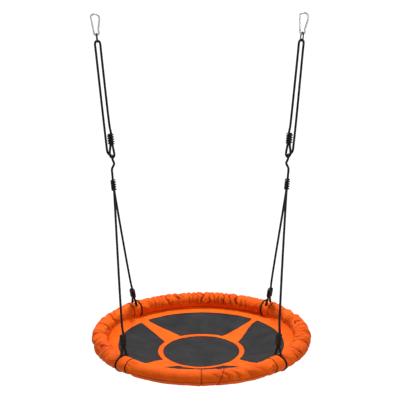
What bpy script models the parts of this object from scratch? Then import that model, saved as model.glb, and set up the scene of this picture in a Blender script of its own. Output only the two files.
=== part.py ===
"""A saucer nest swing: a round padded seat that hangs on two adjustable ropes.

Metres, +Z up. The origin is on the hang line, midway between the two hooks' inside tops. The seat's
ring is level, the ropes lean in a little on their way down, +Y is the rear and +X is the right side.
"""

import math

import bmesh
import bpy
from mathutils import Matrix, Vector

MM = 0.001
X_AXIS = Vector((1, 0, 0))
Y_AXIS = Vector((0, 1, 0))
Z_AXIS = Vector((0, 0, 1))
GAP = 0.0003  # clearance between neighbouring pieces

# Layout of the whole swing
HANG_HALF = 0.421  # each hang point from the middle
DROP = 1.365  # hang line to the ring's plane
RING_RADIUS = 0.438  # centre line of the steel ring
COVER_RADIUS = 0.037  # section of the padded rim
BAND_WIDTH = 0.047  # plain fabric band at each rope station
STATION_ANGLES = {"rear_right": 45, "rear_left": 135, "front_left": 225, "front_right": 315}
QUARTER_NAMES = {"right": 0, "rear": 90, "left": 180, "front": 270}
TUBE_STARTS = {"rear_right": 0, "rear_left": 90, "front_left": 180, "front_right": 270}
SIDES = {"left": -1, "right": 1}

# Ring
TUBE_RADIUS = 0.014
TUBE_WALL = 0.0015
SLEEVE_HALF_ANGLE = 5.0
FOAM_BORE = 0.0168
FOAM_RADIUS = 0.0330
FABRIC = 0.0024  # thickness of the cover
SCREW_ANGLE = 2.6  # past each joint line
SCREW_RADIUS = 0.0018
EDGE_CORD_RADIUS = 0.0012
RUN_DIVISIONS = 4  # facets from a joint line to the next band

# Mat and trim
MAT_RADII = (0.0, 0.166, 0.190, 0.275, 0.360, 0.4055)
MAT_HEIGHTS = (-0.084, -0.0825, -0.081, -0.0615, -0.0385, -0.0255)
SPOKE_HALF_WIDTHS = (0.0, 0.043, 0.049, 0.036, 0.0235, 0.0235)
MAT_THICKNESS = 0.0025
TRIM_THICKNESS = 0.0008
PANEL_COLUMNS = 8

# Ropes, in the frame of each leaning hang line
ROPE_RADIUS = 0.004
STRAND_HALF = ROPE_RADIUS + GAP / 2  # two strands side by side
WHIPPING_BORE = 0.0047
WHIPPING_OUTER = 0.0080
ADJUSTER_WHIPPING = (0.485, 0.530)  # span below the hang point
V_WHIPPING = (0.679, 0.725)
EYE_WHIPPING = {-1: (0.067, 0.112), 1: (0.081, 0.127)}  # front and rear, above the tube's centre
RIM_EYE_HALF = 0.0194
RING_TURN = {"left": 0.0, "right": 21.0}  # each hanger ring's turn about its hang line

# Hook and hanger ring
WIRE_RADIUS = 0.004
WIRE_SIDES = 12
BOW_RADIUS = 0.0185
HOOK_EYE_RADIUS = 0.0106
HOOK_EYE_DEPTH = 0.0694
GATE_PIVOT = Vector((-0.0104, 0.0, -0.0635))
LATCH_ANGLE = 152
TONGUE_HALF = 0.0017  # half thickness of the hook's flattened ends
RIVET_RADIUS = 0.0015
RIVET_HEAD_RADIUS = 0.0026
RIVET_HEAD_DEPTH = 0.001
LATCH_PIN_RADIUS = 0.0012
GATE_RADIUS = 0.0040
RING_WIRE = 0.00275
RING_ARC = 0.011
RING_STRAIGHT = 0.0145
RING_PLAY = 0.0012  # between the ring and the wire that it hangs on

BOW_DEPTH = BOW_RADIUS - WIRE_RADIUS
HOOK_BOTTOM = HOOK_EYE_DEPTH + HOOK_EYE_RADIUS
RING_TOP = HOOK_BOTTOM - WIRE_RADIUS - RING_PLAY - RING_WIRE
RING_BOTTOM = RING_TOP + 2 * RING_ARC + RING_STRAIGHT
ROPE_TOP = RING_BOTTOM - RING_WIRE - GAP - ROPE_RADIUS
BAND_HALF_ANGLE = math.degrees(BAND_WIDTH / 2 / RING_RADIUS)
STATION_HALF = RING_RADIUS * math.cos(math.radians(BAND_HALF_ANGLE)) / math.sqrt(2)
LEAN = math.atan2(HANG_HALF - STATION_HALF, DROP)

COLOURS = {
    "zinc": ((0.62, 0.63, 0.64), 0.35, 1.0),
    "black_steel": ((0.03, 0.03, 0.03), 0.45, 0.6),
    "tube_steel": ((0.55, 0.56, 0.57), 0.4, 1.0),
    "rope": ((0.02, 0.02, 0.02), 0.8, 0.0),
    "foam": ((0.75, 0.75, 0.73), 0.9, 0.0),
    "orange_fabric": ((0.85, 0.17, 0.03), 0.75, 0.0),
    "grey_fabric": ((0.07, 0.065, 0.07), 0.8, 0.0),
}


def clear_scene():
    for obj in list(bpy.data.objects):
        bpy.data.objects.remove(obj, do_unlink=True)


def make_materials():
    made = {}
    for name, (colour, roughness, metallic) in COLOURS.items():
        material = bpy.data.materials.new(name)
        material.use_nodes = True
        shader = material.node_tree.nodes["Principled BSDF"]
        shader.inputs["Base Color"].default_value = (*colour, 1.0)
        shader.inputs["Roughness"].default_value = roughness
        shader.inputs["Metallic"].default_value = metallic
        made[name] = material
    return made


def empty(name, location):
    obj = bpy.data.objects.new(name, None)
    obj.location = location
    bpy.context.collection.objects.link(obj)
    return obj


def place(obj, parent, location=(0, 0, 0), turn=0.0):
    """Puts obj at a world location, turned about Y, under an unrotated empty."""
    bpy.context.collection.objects.link(obj)
    obj.parent = parent
    obj.location = Vector(location) - parent.location
    obj.rotation_euler = (0.0, turn, 0.0)
    return obj


def mesh_object(name, vertices, faces, material=None):
    mesh = bpy.data.meshes.new(name)
    mesh.from_pydata([tuple(v) for v in vertices], [], faces)
    shape = bmesh.new()
    shape.from_mesh(mesh)
    bmesh.ops.recalc_face_normals(shape, faces=shape.faces)
    shape.to_mesh(mesh)
    shape.free()
    mesh.shade_smooth()
    mesh.set_sharp_from_angle(angle=math.radians(40))
    if material:
        mesh.materials.append(material)
    return bpy.data.objects.new(name, mesh)


def cutter(name, vertices, faces, parent, location=(0, 0, 0), turn=0.0):
    obj = place(mesh_object(name, vertices, faces), parent, location, turn)
    obj.hide_render = True
    obj.display_type = "WIRE"
    return obj


def cut(obj, tool):
    modifier = obj.modifiers.new("cut_" + tool.name, "BOOLEAN")
    modifier.operation = "DIFFERENCE"
    modifier.solver = "EXACT"
    modifier.object = tool


def box(centre, half, axes):
    """Vertices and faces of a box with half sizes along three perpendicular axes."""
    x, y, z = (axis * size for axis, size in zip(axes, half))
    vertices = [centre + x * i + y * j + z * k for i in (-1, 1) for j in (-1, 1) for k in (-1, 1)]
    faces = [(0, 1, 3, 2), (4, 6, 7, 5), (0, 4, 5, 1), (2, 3, 7, 6), (0, 2, 6, 4), (1, 5, 7, 3)]
    return vertices, faces


def prism(outline, low, high):
    """An outline in the XZ plane, extruded along Y."""
    count = len(outline)
    vertices = [Vector((x, low, z)) for x, z in outline] + [Vector((x, high, z)) for x, z in outline]
    faces = [tuple(range(count)), tuple(range(2 * count - 1, count - 1, -1))]
    faces += [(i, (i + 1) % count, (i + 1) % count + count, i + count) for i in range(count)]
    return vertices, faces


def turned(profile, sides, centre, axis_x, axis_y, axis):
    """A solid turned about an axis: profile is (radius, distance along the axis), end to end."""
    vertices = []
    for radius, distance in profile:
        for side in range(sides):
            angle = 2 * math.pi * side / sides
            across = axis_x * math.cos(angle) + axis_y * math.sin(angle)
            vertices.append(Vector(centre) + across * radius + axis * distance)
    faces = [tuple(range(sides)), tuple(range(len(vertices) - sides, len(vertices)))]
    for row in range(len(profile) - 1):
        for side in range(sides):
            a, b = row * sides + side, row * sides + (side + 1) % sides
            faces.append((a, b, b + sides, a + sides))
    return vertices, faces


def joined(*shapes):
    vertices, faces = [], []
    for more_vertices, more_faces in shapes:
        start = len(vertices)
        vertices += more_vertices
        faces += [tuple(index + start for index in face) for face in more_faces]
    return vertices, faces


def smooth_route(points, step=32):
    """A centripetal Catmull-Rom curve through the points, finer where it turns: step is in degrees."""
    points = [Vector(p) for p in points]
    points = [2 * points[0] - points[1]] + points + [2 * points[-1] - points[-2]]
    route = []
    for i in range(1, len(points) - 2):
        p0, p1, p2, p3 = points[i - 1 : i + 3]
        t1 = (p1 - p0).length ** 0.5
        t2 = t1 + (p2 - p1).length ** 0.5
        t3 = t2 + (p3 - p2).length ** 0.5
        turn = math.degrees((p1 - p0).angle(p2 - p1) + (p2 - p1).angle(p3 - p2)) / 2
        count = max(1, math.ceil(turn / step))
        for k in range(count):
            t = t1 + (t2 - t1) * k / count
            a1 = p0.lerp(p1, t / t1)
            a2 = p1.lerp(p2, (t - t1) / (t2 - t1))
            a3 = p2.lerp(p3, (t - t2) / (t3 - t2))
            b1 = a1.lerp(a2, t / t2)
            b2 = a2.lerp(a3, (t - t1) / (t3 - t1))
            route.append(b1.lerp(b2, (t - t1) / (t2 - t1)))
    return route + [points[-2]]


def tube(name, points, radius, material, cyclic=False):
    """A round bar along points; its bevel resolution gives it 8 sides."""
    curve = bpy.data.curves.new(name, "CURVE")
    curve.dimensions = "3D"
    curve.bevel_depth = radius
    curve.bevel_resolution = 2
    curve.use_fill_caps = True
    spline = curve.splines.new("POLY")
    spline.points.add(len(points) - 1)
    for point, where in zip(spline.points, points):
        point.co = (*where, 1.0)
    spline.use_cyclic_u = cyclic
    spline.use_smooth = True
    curve.materials.append(material)
    return bpy.data.objects.new(name, curve)


def swept_wire(points, radius, sides=WIRE_SIDES):
    """A round bar along points in the XZ plane, as a mesh with flat ends."""
    vertices = []
    for i, point in enumerate(points):
        before, after = points[max(i - 1, 0)], points[min(i + 1, len(points) - 1)]
        tangent = (after - before).normalized()
        across = Vector((-tangent.z, 0, tangent.x))
        for side in range(sides):
            angle = 2 * math.pi * side / sides
            outward = across * math.cos(angle) + Y_AXIS * math.sin(angle)
            vertices.append(point + outward * radius)
    count = len(vertices)
    faces = [tuple(range(sides)), tuple(range(count - sides, count))]
    for row in range(len(points) - 1):
        for side in range(sides):
            a, b = row * sides + side, row * sides + (side + 1) % sides
            faces.append((a, b, b + sides, a + sides))
    return vertices, faces


# ---------------------------------------------------------------- hooks


def bow_point(angle, radius=BOW_RADIUS):
    along = math.radians(angle)
    return Vector((radius * math.cos(along), 0.0, radius * math.sin(along) - BOW_DEPTH))


def hook_eye_point(angle):
    along = math.radians(angle)
    outward = Vector((math.cos(along), 0.0, math.sin(along)))
    return outward * HOOK_EYE_RADIUS - Z_AXIS * HOOK_EYE_DEPTH


def hook_route():
    """Centre line of the bent wire, from the nose over the bow and round the eye to the gate's pivot."""
    bow = [bow_point(angle) for angle in (164, 150, 130, 110, 90, 70, 50, 30, 10, -11)]
    leg = ((13.9, -37.5), (9.7, -56.5), (9.2, -61.0), (10.3, -66.5))
    side = [Vector((x * MM, 0, z * MM)) for x, z in leg]
    eye = [hook_eye_point(angle) for angle in (-12, -38, -64, -90, -116, -142, -168)]
    return bow + side + eye + [Vector((-10.4 * MM, 0, -65 * MM)), Vector((-10.3 * MM, 0, -60.8 * MM))]


def cheek_cutters(outline):
    """The two prisms that flatten a wire's end to a tongue."""
    clear = 0.007
    return joined(prism(outline, TONGUE_HALF, clear), prism(outline, -clear, -TONGUE_HALF))


def axle(centre, radius, half):
    """A round pin along Y through centre."""
    profile = ((radius, -half), (radius, half))
    return turned(profile, 8, centre, X_AXIS, Z_AXIS, Y_AXIS)


def latch_point():
    return bow_point(LATCH_ANGLE)


def gate_axes():
    """Along the gate from its pivot to its latch, and across it."""
    along = (latch_point() - GATE_PIVOT).normalized()
    return along, Vector((along.z, 0, -along.x))


def add_hook_body(name, parent, location, turn, material):
    wire = swept_wire(smooth_route(hook_route()), WIRE_RADIUS)
    body = place(mesh_object(name, *wire, material), parent, location, turn)
    nose = ((120, 0.008), (120, 0.026), (165, 0.030), (205, 0.026), (205, 0.008))
    nose_outline = [(p.x, p.z) for p in (bow_point(angle, radius) for angle, radius in nose)]
    ear = ((-18, -68.2), (-4.6, -68.2), (-4.6, -56), (-18, -56))
    along, across = gate_axes()
    slot_half = LATCH_PIN_RADIUS + GAP
    slot_centre = latch_point() + across * (0.006 - slot_half)
    slot = box(slot_centre, (0.006, 0.01, slot_half), (across, Y_AXIS, along))
    hole = axle(GATE_PIVOT, RIVET_RADIUS + GAP, 0.006)
    tools = {
        "nose": cheek_cutters(nose_outline),
        "ear": cheek_cutters([(x * MM, z * MM) for x, z in ear]),
        "slot": slot,
        "hole": hole,
    }
    for tool, shape in tools.items():
        cut(body, cutter(f"{name}_{tool}_cutter", *shape, parent, location, turn))


def gate_profile():
    """The gate's radius along its length from the pivot: a round bar with softly rounded ends."""
    length = (latch_point() - GATE_PIVOT).length
    low_end = [(0.0022, -0.0034), (0.0034, -0.0023), (GATE_RADIUS, 0.0)]
    high_end = [(GATE_RADIUS, length - 0.001), (0.0034, length + 0.0015), (0.0020, length + 0.0027)]
    return low_end + high_end


def add_gate(name, parent, pivot, location, turn, material):
    """The sprung gate: forked at both ends, bored for its spring. Its origin is on its hinge."""
    along, across = gate_axes()
    axes = (across, Y_AXIS, along)
    shape = turned(gate_profile(), WIRE_SIDES, (0, 0, 0), *axes)
    gate = place(mesh_object(name, *shape, material), parent, pivot, turn)
    fork = TONGUE_HALF + GAP
    wide = 0.012
    low_fork = box(GATE_PIVOT + along * 0.0025, (wide, fork, 0.0075), axes)
    high_fork = box(latch_point() + along * 0.001, (wide, fork, 0.0090), axes)
    tools = {
        "low_fork": low_fork,
        "high_fork": high_fork,
        "rivet_hole": axle(GATE_PIVOT, RIVET_RADIUS + GAP, 0.006),
        "pin_hole": axle(latch_point(), LATCH_PIN_RADIUS + GAP, 0.006),
        "bore": turned(((0.0024, 0.0), (0.0024, 0.018)), 8, GATE_PIVOT + along * 0.008, *axes),
    }
    for tool, shape in tools.items():
        cut(gate, cutter(f"{name}_{tool}_cutter", *shape, parent, location, turn))


def add_rivet(name, parent, pivot, turn, material):
    """The hinge rivet: a shaft with a head on each side, turned about Y."""
    start = GATE_RADIUS + GAP
    end = start + RIVET_HEAD_DEPTH
    head = ((RIVET_HEAD_RADIUS * 0.7, -end), (RIVET_HEAD_RADIUS, -start), (RIVET_RADIUS, -start))
    other_head = [(radius, -distance) for radius, distance in reversed(head)]
    shape = turned((*head, *other_head), 8, (0, 0, 0), X_AXIS, Z_AXIS, Y_AXIS)
    place(mesh_object(name, *shape, material), parent, pivot, turn)


def add_gate_spring(name, parent, location, turn, material):
    """A small compression spring in the gate's bore."""
    along, across = gate_axes()
    turns, per_turn, radius, wire = 4, 8, 0.0016, 0.00035
    start, length = 0.0115, 0.013
    route = []
    for k in range(turns * per_turn + 1):
        angle = 2 * math.pi * k / per_turn
        round_axis = across * math.cos(angle) + Y_AXIS * math.sin(angle)
        distance = start + length * k / (turns * per_turn)
        route.append(GATE_PIVOT + along * distance + round_axis * radius)
    spring = tube(name, route, wire, material)
    spring.data.bevel_resolution = 0
    place(spring, parent, location, turn)


def add_hanger_ring(name, side, parent, materials):
    """A long oval ring of round wire: it hangs on the hook's eye and carries the rope."""
    turn = SIDES[side] * LEAN
    plane = math.radians(90 + RING_TURN[side])
    across = Vector((math.cos(plane), math.sin(plane), 0))
    route = []
    for end, start in ((1, 0), (-1, 180)):
        for angle in range(start, start + 181, 20):
            out = math.radians(angle)
            height = RING_ARC * math.sin(out) + end * RING_STRAIGHT / 2
            route.append(across * RING_ARC * math.cos(out) + Vector((0, 0, height)))
    middle = HOOK_BOTTOM - (RING_TOP + RING_BOTTOM) / 2
    route = [p + Vector((0, 0, middle)) for p in route]
    ring = tube(name, route, RING_WIRE, materials["black_steel"], cyclic=True)
    ring.data.bevel_resolution = 4
    place(ring, parent, line_point(side, (0, 0, HOOK_BOTTOM)), turn)


# ---------------------------------------------------------------- ropes


def line_matrix(side):
    """The frame of one leaning hang line: +X right, +Y rear, -Z down the line from the hang point."""
    sign = SIDES[side]
    return Matrix.Translation((sign * HANG_HALF, 0, 0)) @ Matrix.Rotation(sign * LEAN, 4, "Y")


def line_point(side, place_on_line):
    """World place of (out from the middle, rear, down the line) on one side's hang line."""
    out, rear, down = place_on_line
    return line_matrix(side) @ Vector((SIDES[side] * out, rear, -down))


def strand_turn(side, down):
    """How far the doubled strands are turned about the line at this depth, in radians."""
    stations = ((0.11, 1.0), (0.42, 0.72), (0.48, 0.4), (0.60, 0.4), (0.65, 0.0))
    share = stations[0][1] if down <= stations[0][0] else stations[-1][1]
    for (low, first), (high, second) in zip(stations, stations[1:]):
        if low < down < high:
            share = first + (second - first) * (down - low) / (high - low)
    return math.radians(RING_TURN[side]) * share


def turned_point(side, out, rear, down):
    """A point of the doubled strands, turned about the line with them."""
    turn = strand_turn(side, down) * SIDES[side]
    turned_out = out * math.cos(turn) - rear * math.sin(turn)
    turned_rear = out * math.sin(turn) + rear * math.cos(turn)
    return line_point(side, (turned_out, turned_rear, down))


def loop_route(side):
    """The main rope from its tail in the adjuster's whipping to the V: small eye, inner strand, bend
    over the hanger ring, outer strand, and the S bend back through the small eye.
    The points are in millimetres out, rear and down."""
    inner, outer = -10.2 - STRAND_HALF / MM, -10.2 + STRAND_HALF / MM
    top, bend = ROPE_TOP / MM, 10.5
    tail = [(outer, 0, 483), (outer, 0, 500), (outer, 0, 528), (-3.2, 0, 545), (0.6, 0, 563)]
    eye = [(0.9, 0, 575), (-2.3, 0, 582.6), (-8.3, 0, 586.2), (-14.4, 0, 582.6), (-17.6, 0, 575)]
    rise = [(-17.4, 0, 563), (-15.6, 0, 545), (inner, 0, 528), (inner, 0, 486)]
    rise += [(-11.6, 0, 462), (-10.4, 0, 420)]
    over = [(-bend, 0, top + 40), (-bend, 0, top + bend + 2)]
    for angle in map(math.radians, (35, 62, 90, 118, 145)):
        over.append((-bend * math.cos(angle), 0, top + bend - bend * math.sin(angle)))
    over += [(bend, 0, top + bend + 2), (bend, 0, top + 40), (11.0, 0, 420), (10.8, 0, 538)]
    through = [(10.6, 0.6, 554), (8.6, 5.2, 566.5), (2.4, 9.3, 574.5), (-4.6, 8.8, 577.2)]
    through += [(-8.4, 3.6, 577.6), (-8.5, -3.6, 578.2)]
    twist = [(-8.6, -8.9, 583.5), (-9.6, -9.2, 594.5), (-12.6, -4.8, 605), (-12.4, 0.6, 613)]
    down = [(-7.4, 2.0, 622), (-1.6, 0.9, 631), (0, 0, 642), (0, 0, 656)]
    route = tail + eye + rise + over + through + twist + down
    return [turned_point(side, out * MM, rear * MM, depth * MM) for out, rear, depth in route]


def leg_frame(side, rear):
    """The tube's centre at one station, the leg's direction up from it, and the rim eye's across it."""
    centre = Vector((SIDES[side] * STATION_HALF, rear * STATION_HALF, -DROP))
    top = line_point(side, (0, rear * STRAND_HALF, V_WHIPPING[1] + 0.006))
    along = (top - centre).normalized()
    tangent = Vector((-rear * SIDES[side], 1, 0)).normalized()
    return centre, along, tangent.cross(along).normalized()


def leg_route(side, rear):
    """One leg from the V to the rim: a straight run, an eye round the ring's tube, a whipped tail."""
    centre, along, across = leg_frame(side, rear)
    low, high = EYE_WHIPPING[rear]
    whipped = [(high + 0.030, 0.0), (high, STRAND_HALF), (low, STRAND_HALF)]
    open_side = [(low - 0.015, 0.0079), (low - 0.031, 0.0132), (0.022, 0.0174)]
    half = RIM_EYE_HALF
    long_half = half * 1.07
    turns = map(math.radians, range(-15, 196, 30))
    under = [(-long_half * math.sin(turn), half * math.cos(turn)) for turn in turns]
    back = [(up, -out) for up, out in reversed(open_side)]
    back += [(low, -STRAND_HALF), (high + 0.002, -STRAND_HALF)]
    return [centre + along * up + across * out for up, out in whipped + open_side + under + back]


def v_strand(side, rear):
    """The strand inside the V whipping, above one leg."""
    start, end = V_WHIPPING
    depths = (start + 0.001, start + 0.020, end - 0.010, end - 0.003, end + 0.001)
    return [line_point(side, (0, rear * STRAND_HALF, down)) for down in depths]


def stadium(centre, across, normal, radius):
    """Points round two strands that lie side by side."""
    points = []
    for start, shift in ((-90, STRAND_HALF), (90, -STRAND_HALF)):
        for angle in range(start, start + 181, 45):
            out = math.radians(angle)
            around = across * math.cos(out) + normal * math.sin(out)
            points.append(centre + across * shift + around * radius)
    return points


def whipping(name, centre, along, across, half_length, parent, material):
    """A bound sleeve with a long round hole for two strands side by side."""
    normal = along.cross(across).normalized()
    vertices = []
    section = ((WHIPPING_OUTER, -1), (WHIPPING_OUTER, 1), (WHIPPING_BORE, 1), (WHIPPING_BORE, -1))
    for radius, end in section:
        vertices += stadium(centre + along * end * half_length, across, normal, radius)
    count = len(vertices) // 4
    faces = []
    for row in range(4):
        below = (row + 1) % 4
        for k in range(count):
            following = (k + 1) % count
            faces.append(
                (row * count + k, row * count + following, below * count + following, below * count + k)
            )
    return place(mesh_object(name, vertices, faces, material), parent)


def add_ropes(side, parent, materials):
    """The ropes and their whippings on one side."""
    rope = materials["rope"]
    front = v_strand(side, -1) + leg_route(side, -1)
    rear = v_strand(side, 1) + leg_route(side, 1)
    main = smooth_route(loop_route(side) + front)
    place(tube(f"{side}_main_rope", main, ROPE_RADIUS, rope), parent)
    place(tube(f"{side}_rear_leg_rope", smooth_route(rear), ROPE_RADIUS, rope), parent)

    down_line = line_matrix(side).to_3x3() @ Vector((0, 0, -1))
    middle = sum(ADJUSTER_WHIPPING) / 2
    half = (ADJUSTER_WHIPPING[1] - ADJUSTER_WHIPPING[0]) / 2
    centre = turned_point(side, -10.2 * MM, 0, middle)
    across = (centre - line_point(side, (0, 0, middle))).normalized()
    whipping(f"{side}_adjuster_whipping", centre, down_line, across, half, parent, rope)
    middle = sum(V_WHIPPING) / 2
    half = (V_WHIPPING[1] - V_WHIPPING[0]) / 2
    centre = line_point(side, (0, 0, middle))
    whipping(f"{side}_v_whipping", centre, down_line, Y_AXIS, half, parent, rope)
    for label, sign in (("front", -1), ("rear", 1)):
        foot, along, across = leg_frame(side, sign)
        low, high = EYE_WHIPPING[sign]
        middle = foot + along * (low + high) / 2
        half = (high - low) / 2
        whipping(f"{side}_{label}_eye_whipping", middle, along, across, half, parent, rope)


# ---------------------------------------------------------------- ring


def grid_angles(start, stop):
    """The ring's facet lines between two angles: joint lines, band edges and the even steps between."""
    lines = []
    for quarter in range(-90, 451, 90):
        run = 45 - BAND_HALF_ANGLE
        for k in range(RUN_DIVISIONS + 1):
            lines += [quarter + run * k / RUN_DIVISIONS, quarter + 90 - run * k / RUN_DIVISIONS]
    lines = sorted({round(line, 6) for line in lines})
    return [line for line in lines if start + 1e-4 < line < stop - 1e-4]


def chord_share(angle):
    """How far in a facet of the ring lies at this angle, as a share of its corner radius."""
    lines = grid_angles(angle - 30, angle + 30)
    low = max(line for line in lines if line <= angle + 1e-4)
    high = min(line for line in lines if line > angle + 1e-4)
    half = math.radians(high - low) / 2
    return math.cos(half) / math.cos(math.radians(angle) - math.radians(low + high) / 2)


def ring_section(angle, radius, sides, phase):
    """A round section of the ring at an angle, as points."""
    around = math.radians(angle)
    outward = Vector((math.cos(around), math.sin(around), 0))
    share = chord_share(angle)
    points = []
    for side in range(sides):
        out = math.radians(phase + 360 * side / sides)
        rho = (RING_RADIUS + radius * math.cos(out)) * share
        points.append(outward * rho + Vector((0, 0, radius * math.sin(out) - DROP)))
    return points


def ring_shell(start, stop, outer, inner, sides=12, phase=0.0):
    """A hollow length of the ring between two angles, open at both ends."""
    angles = [start] + grid_angles(start, stop) + [stop]
    vertices = []
    for angle in angles:
        vertices += ring_section(angle, outer, sides, phase) + ring_section(angle, inner, sides, phase)
    faces = []
    step = 2 * sides
    for row in range(len(angles) - 1):
        for side in range(sides):
            a, b = row * step + side, row * step + (side + 1) % sides
            faces.append((a, b, b + step, a + step))
            faces.append((a + sides, a + sides + step, b + sides + step, b + sides))
    for row in (0, len(angles) - 1):
        for side in range(sides):
            a, b = row * step + side, row * step + (side + 1) % sides
            faces.append((a, b, b + sides, a + sides))
    return vertices, faces


def gap_angle(gap):
    """The turn about the ring's centre that opens a gap this wide at its inner side."""
    return math.degrees(gap / (RING_RADIUS - COVER_RADIUS))


def bolt_shape(angle, profile):
    """A solid turned about the vertical through the tube's lower face, at an angle of the ring."""
    around = math.radians(angle)
    outward = Vector((math.cos(around), math.sin(around), 0))
    tube_face = TUBE_RADIUS * math.cos(math.radians(22.5))
    centre = outward * RING_RADIUS * chord_share(angle) - Vector((0, 0, DROP + tube_face))
    return turned(profile, 6, centre, outward, Z_AXIS.cross(outward), Z_AXIS)


def add_ring_frame(parent, materials):
    """Four curved tubes, with a sleeve inside and a screw at each joint."""
    steel = materials["tube_steel"]
    trim = gap_angle(GAP) / 2
    bore = TUBE_RADIUS - TUBE_WALL
    sleeve_outer = bore - 0.0004
    sleeve_bore = sleeve_outer - TUBE_WALL
    screw_end = 0.005
    hole = ((SCREW_RADIUS + GAP, -0.004), (SCREW_RADIUS + GAP, screw_end + 0.001))
    head = ((0.0032, -0.0018), (0.0038, -GAP), (SCREW_RADIUS, -GAP))
    screw = (*head, (SCREW_RADIUS, screw_end))
    for name, start in TUBE_STARTS.items():
        shape = ring_shell(start + trim, start + 90 - trim, TUBE_RADIUS, bore, 8, 22.5)
        ring_tube = place(mesh_object(f"ring_tube_{name}", *shape, steel), parent)
        cut(ring_tube, cutter(f"tube_{name}_hole", *bolt_shape(start + SCREW_ANGLE, hole), parent))
    for name, middle in QUARTER_NAMES.items():
        ends = (middle - SLEEVE_HALF_ANGLE, middle + SLEEVE_HALF_ANGLE)
        shape = ring_shell(*ends, sleeve_outer, sleeve_bore, 8, 22.5)
        sleeve = place(mesh_object(f"joint_sleeve_{name}", *shape, steel), parent)
        cut(sleeve, cutter(f"sleeve_{name}_hole", *bolt_shape(middle + SCREW_ANGLE, hole), parent))
        shape = bolt_shape(middle + SCREW_ANGLE, screw)
        place(mesh_object(f"joint_screw_{name}", *shape, steel), parent)


def add_padding(parent, materials):
    """A foam sleeve and a fabric cover on each run between stations."""
    ends = 45 - BAND_HALF_ANGLE - gap_angle(GAP)
    for name, middle in QUARTER_NAMES.items():
        foam = ring_shell(middle - ends, middle + ends, FOAM_RADIUS, FOAM_BORE, 8, 22.5)
        place(mesh_object(f"foam_{name}", *foam, materials["foam"]), parent)
        cover = ring_shell(middle - ends, middle + ends, COVER_RADIUS, COVER_RADIUS - FABRIC)
        place(mesh_object(f"rim_cover_{name}", *cover, materials["orange_fabric"]), parent)


def add_station(name, angle, parent, materials):
    """The plain fabric band at a rope station, slotted for the rope's eye, and its two edge cords."""
    half = BAND_HALF_ANGLE - gap_angle(GAP)
    shape = ring_shell(angle - half, angle + half, COVER_RADIUS, COVER_RADIUS - FABRIC)
    band = place(mesh_object(f"station_band_{name}", *shape, materials["orange_fabric"]), parent)
    side = "right" if math.cos(math.radians(angle)) > 0 else "left"
    rear = 1 if math.sin(math.radians(angle)) > 0 else -1
    foot, along, across = leg_frame(side, rear)
    slot = box(foot + along * 0.042, (0.0215, 0.0053, 0.020), (across, along.cross(across), along))
    cut(band, cutter(f"{name}_slot", *slot, parent))
    for label, edge in (("a", angle - BAND_HALF_ANGLE), ("b", angle + BAND_HALF_ANGLE)):
        route = ring_section(edge, COVER_RADIUS + GAP + EDGE_CORD_RADIUS, 12, 0)
        cord = tube(f"edge_cord_{name}_{label}", route, EDGE_CORD_RADIUS, materials["rope"], cyclic=True)
        cord.data.bevel_resolution = 0
        place(cord, parent)


# ---------------------------------------------------------------- mat


def mat_grid():
    """Rows of points from the middle out, with the same columns in each: two for every spoke, and the
    rest for the panels."""
    rows = [[Vector((0, 0, MAT_HEIGHTS[0] - DROP))]]
    for radius, height, half_width in zip(MAT_RADII[1:], MAT_HEIGHTS[1:], SPOKE_HALF_WIDTHS[1:]):
        spoke = math.degrees(math.asin(half_width / radius))
        row = []
        for quarter in range(4):
            middle = 45 + 90 * quarter
            angles = [middle - spoke, middle]
            step = (90 - 2 * spoke) / PANEL_COLUMNS
            angles += [middle + spoke + step * k for k in range(PANEL_COLUMNS)]
            for angle in map(math.radians, angles):
                row.append(Vector((radius * math.cos(angle), radius * math.sin(angle), height - DROP)))
        rows.append(row)
    return rows


def sheet_shape(cells, points, lift, thickness):
    """A closed sheet over the cells, with its upper side lifted and its lower side a thickness below."""
    used = sorted({index for cell in cells for index in cell})
    place_of = {index: k for k, index in enumerate(used)}
    upper = [points[index] + Vector((0, 0, lift)) for index in used]
    lower = [p - Vector((0, 0, thickness)) for p in upper]
    count = len(used)
    faces = [tuple(place_of[i] for i in cell) for cell in cells]
    faces += [tuple(place_of[i] + count for i in reversed(cell)) for cell in cells]
    directed = {(a, b) for cell in cells for a, b in zip(cell, cell[1:] + cell[:1])}
    for a, b in sorted(directed):
        if (b, a) not in directed:
            a, b = place_of[a], place_of[b]
            faces.append((b, a, a + count, b + count))
    return upper + lower, faces


def add_mat(parent, materials):
    """The grey mat, and the orange trim sewn on it: border, four spokes and a ring round the middle."""
    rows = mat_grid()
    columns = len(rows[1])
    points = [p for row in rows for p in row]
    cells, trim = [], []
    for column in range(columns):
        following = (column + 1) % columns
        cells.append((0, 1 + column, 1 + following))
        on_spoke = column % (PANEL_COLUMNS + 2) < 2
        for row in range(1, len(rows) - 1):
            start = 1 + (row - 1) * columns
            a, b = start + column, start + following
            for cell in ((a, a + columns, b + columns), (a, b + columns, b)):
                cells.append(cell)
                if on_spoke or row in (1, len(rows) - 2):
                    trim.append(cell)
    mat = sheet_shape(cells, points, 0.0, MAT_THICKNESS)
    place(mesh_object("seat_mat", *mat, materials["grey_fabric"]), parent)
    sewn = sheet_shape(trim, points, GAP + TRIM_THICKNESS, TRIM_THICKNESS)
    place(mesh_object("seat_trim", *sewn, materials["orange_fabric"]), parent)


# ---------------------------------------------------------------- assembly


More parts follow.
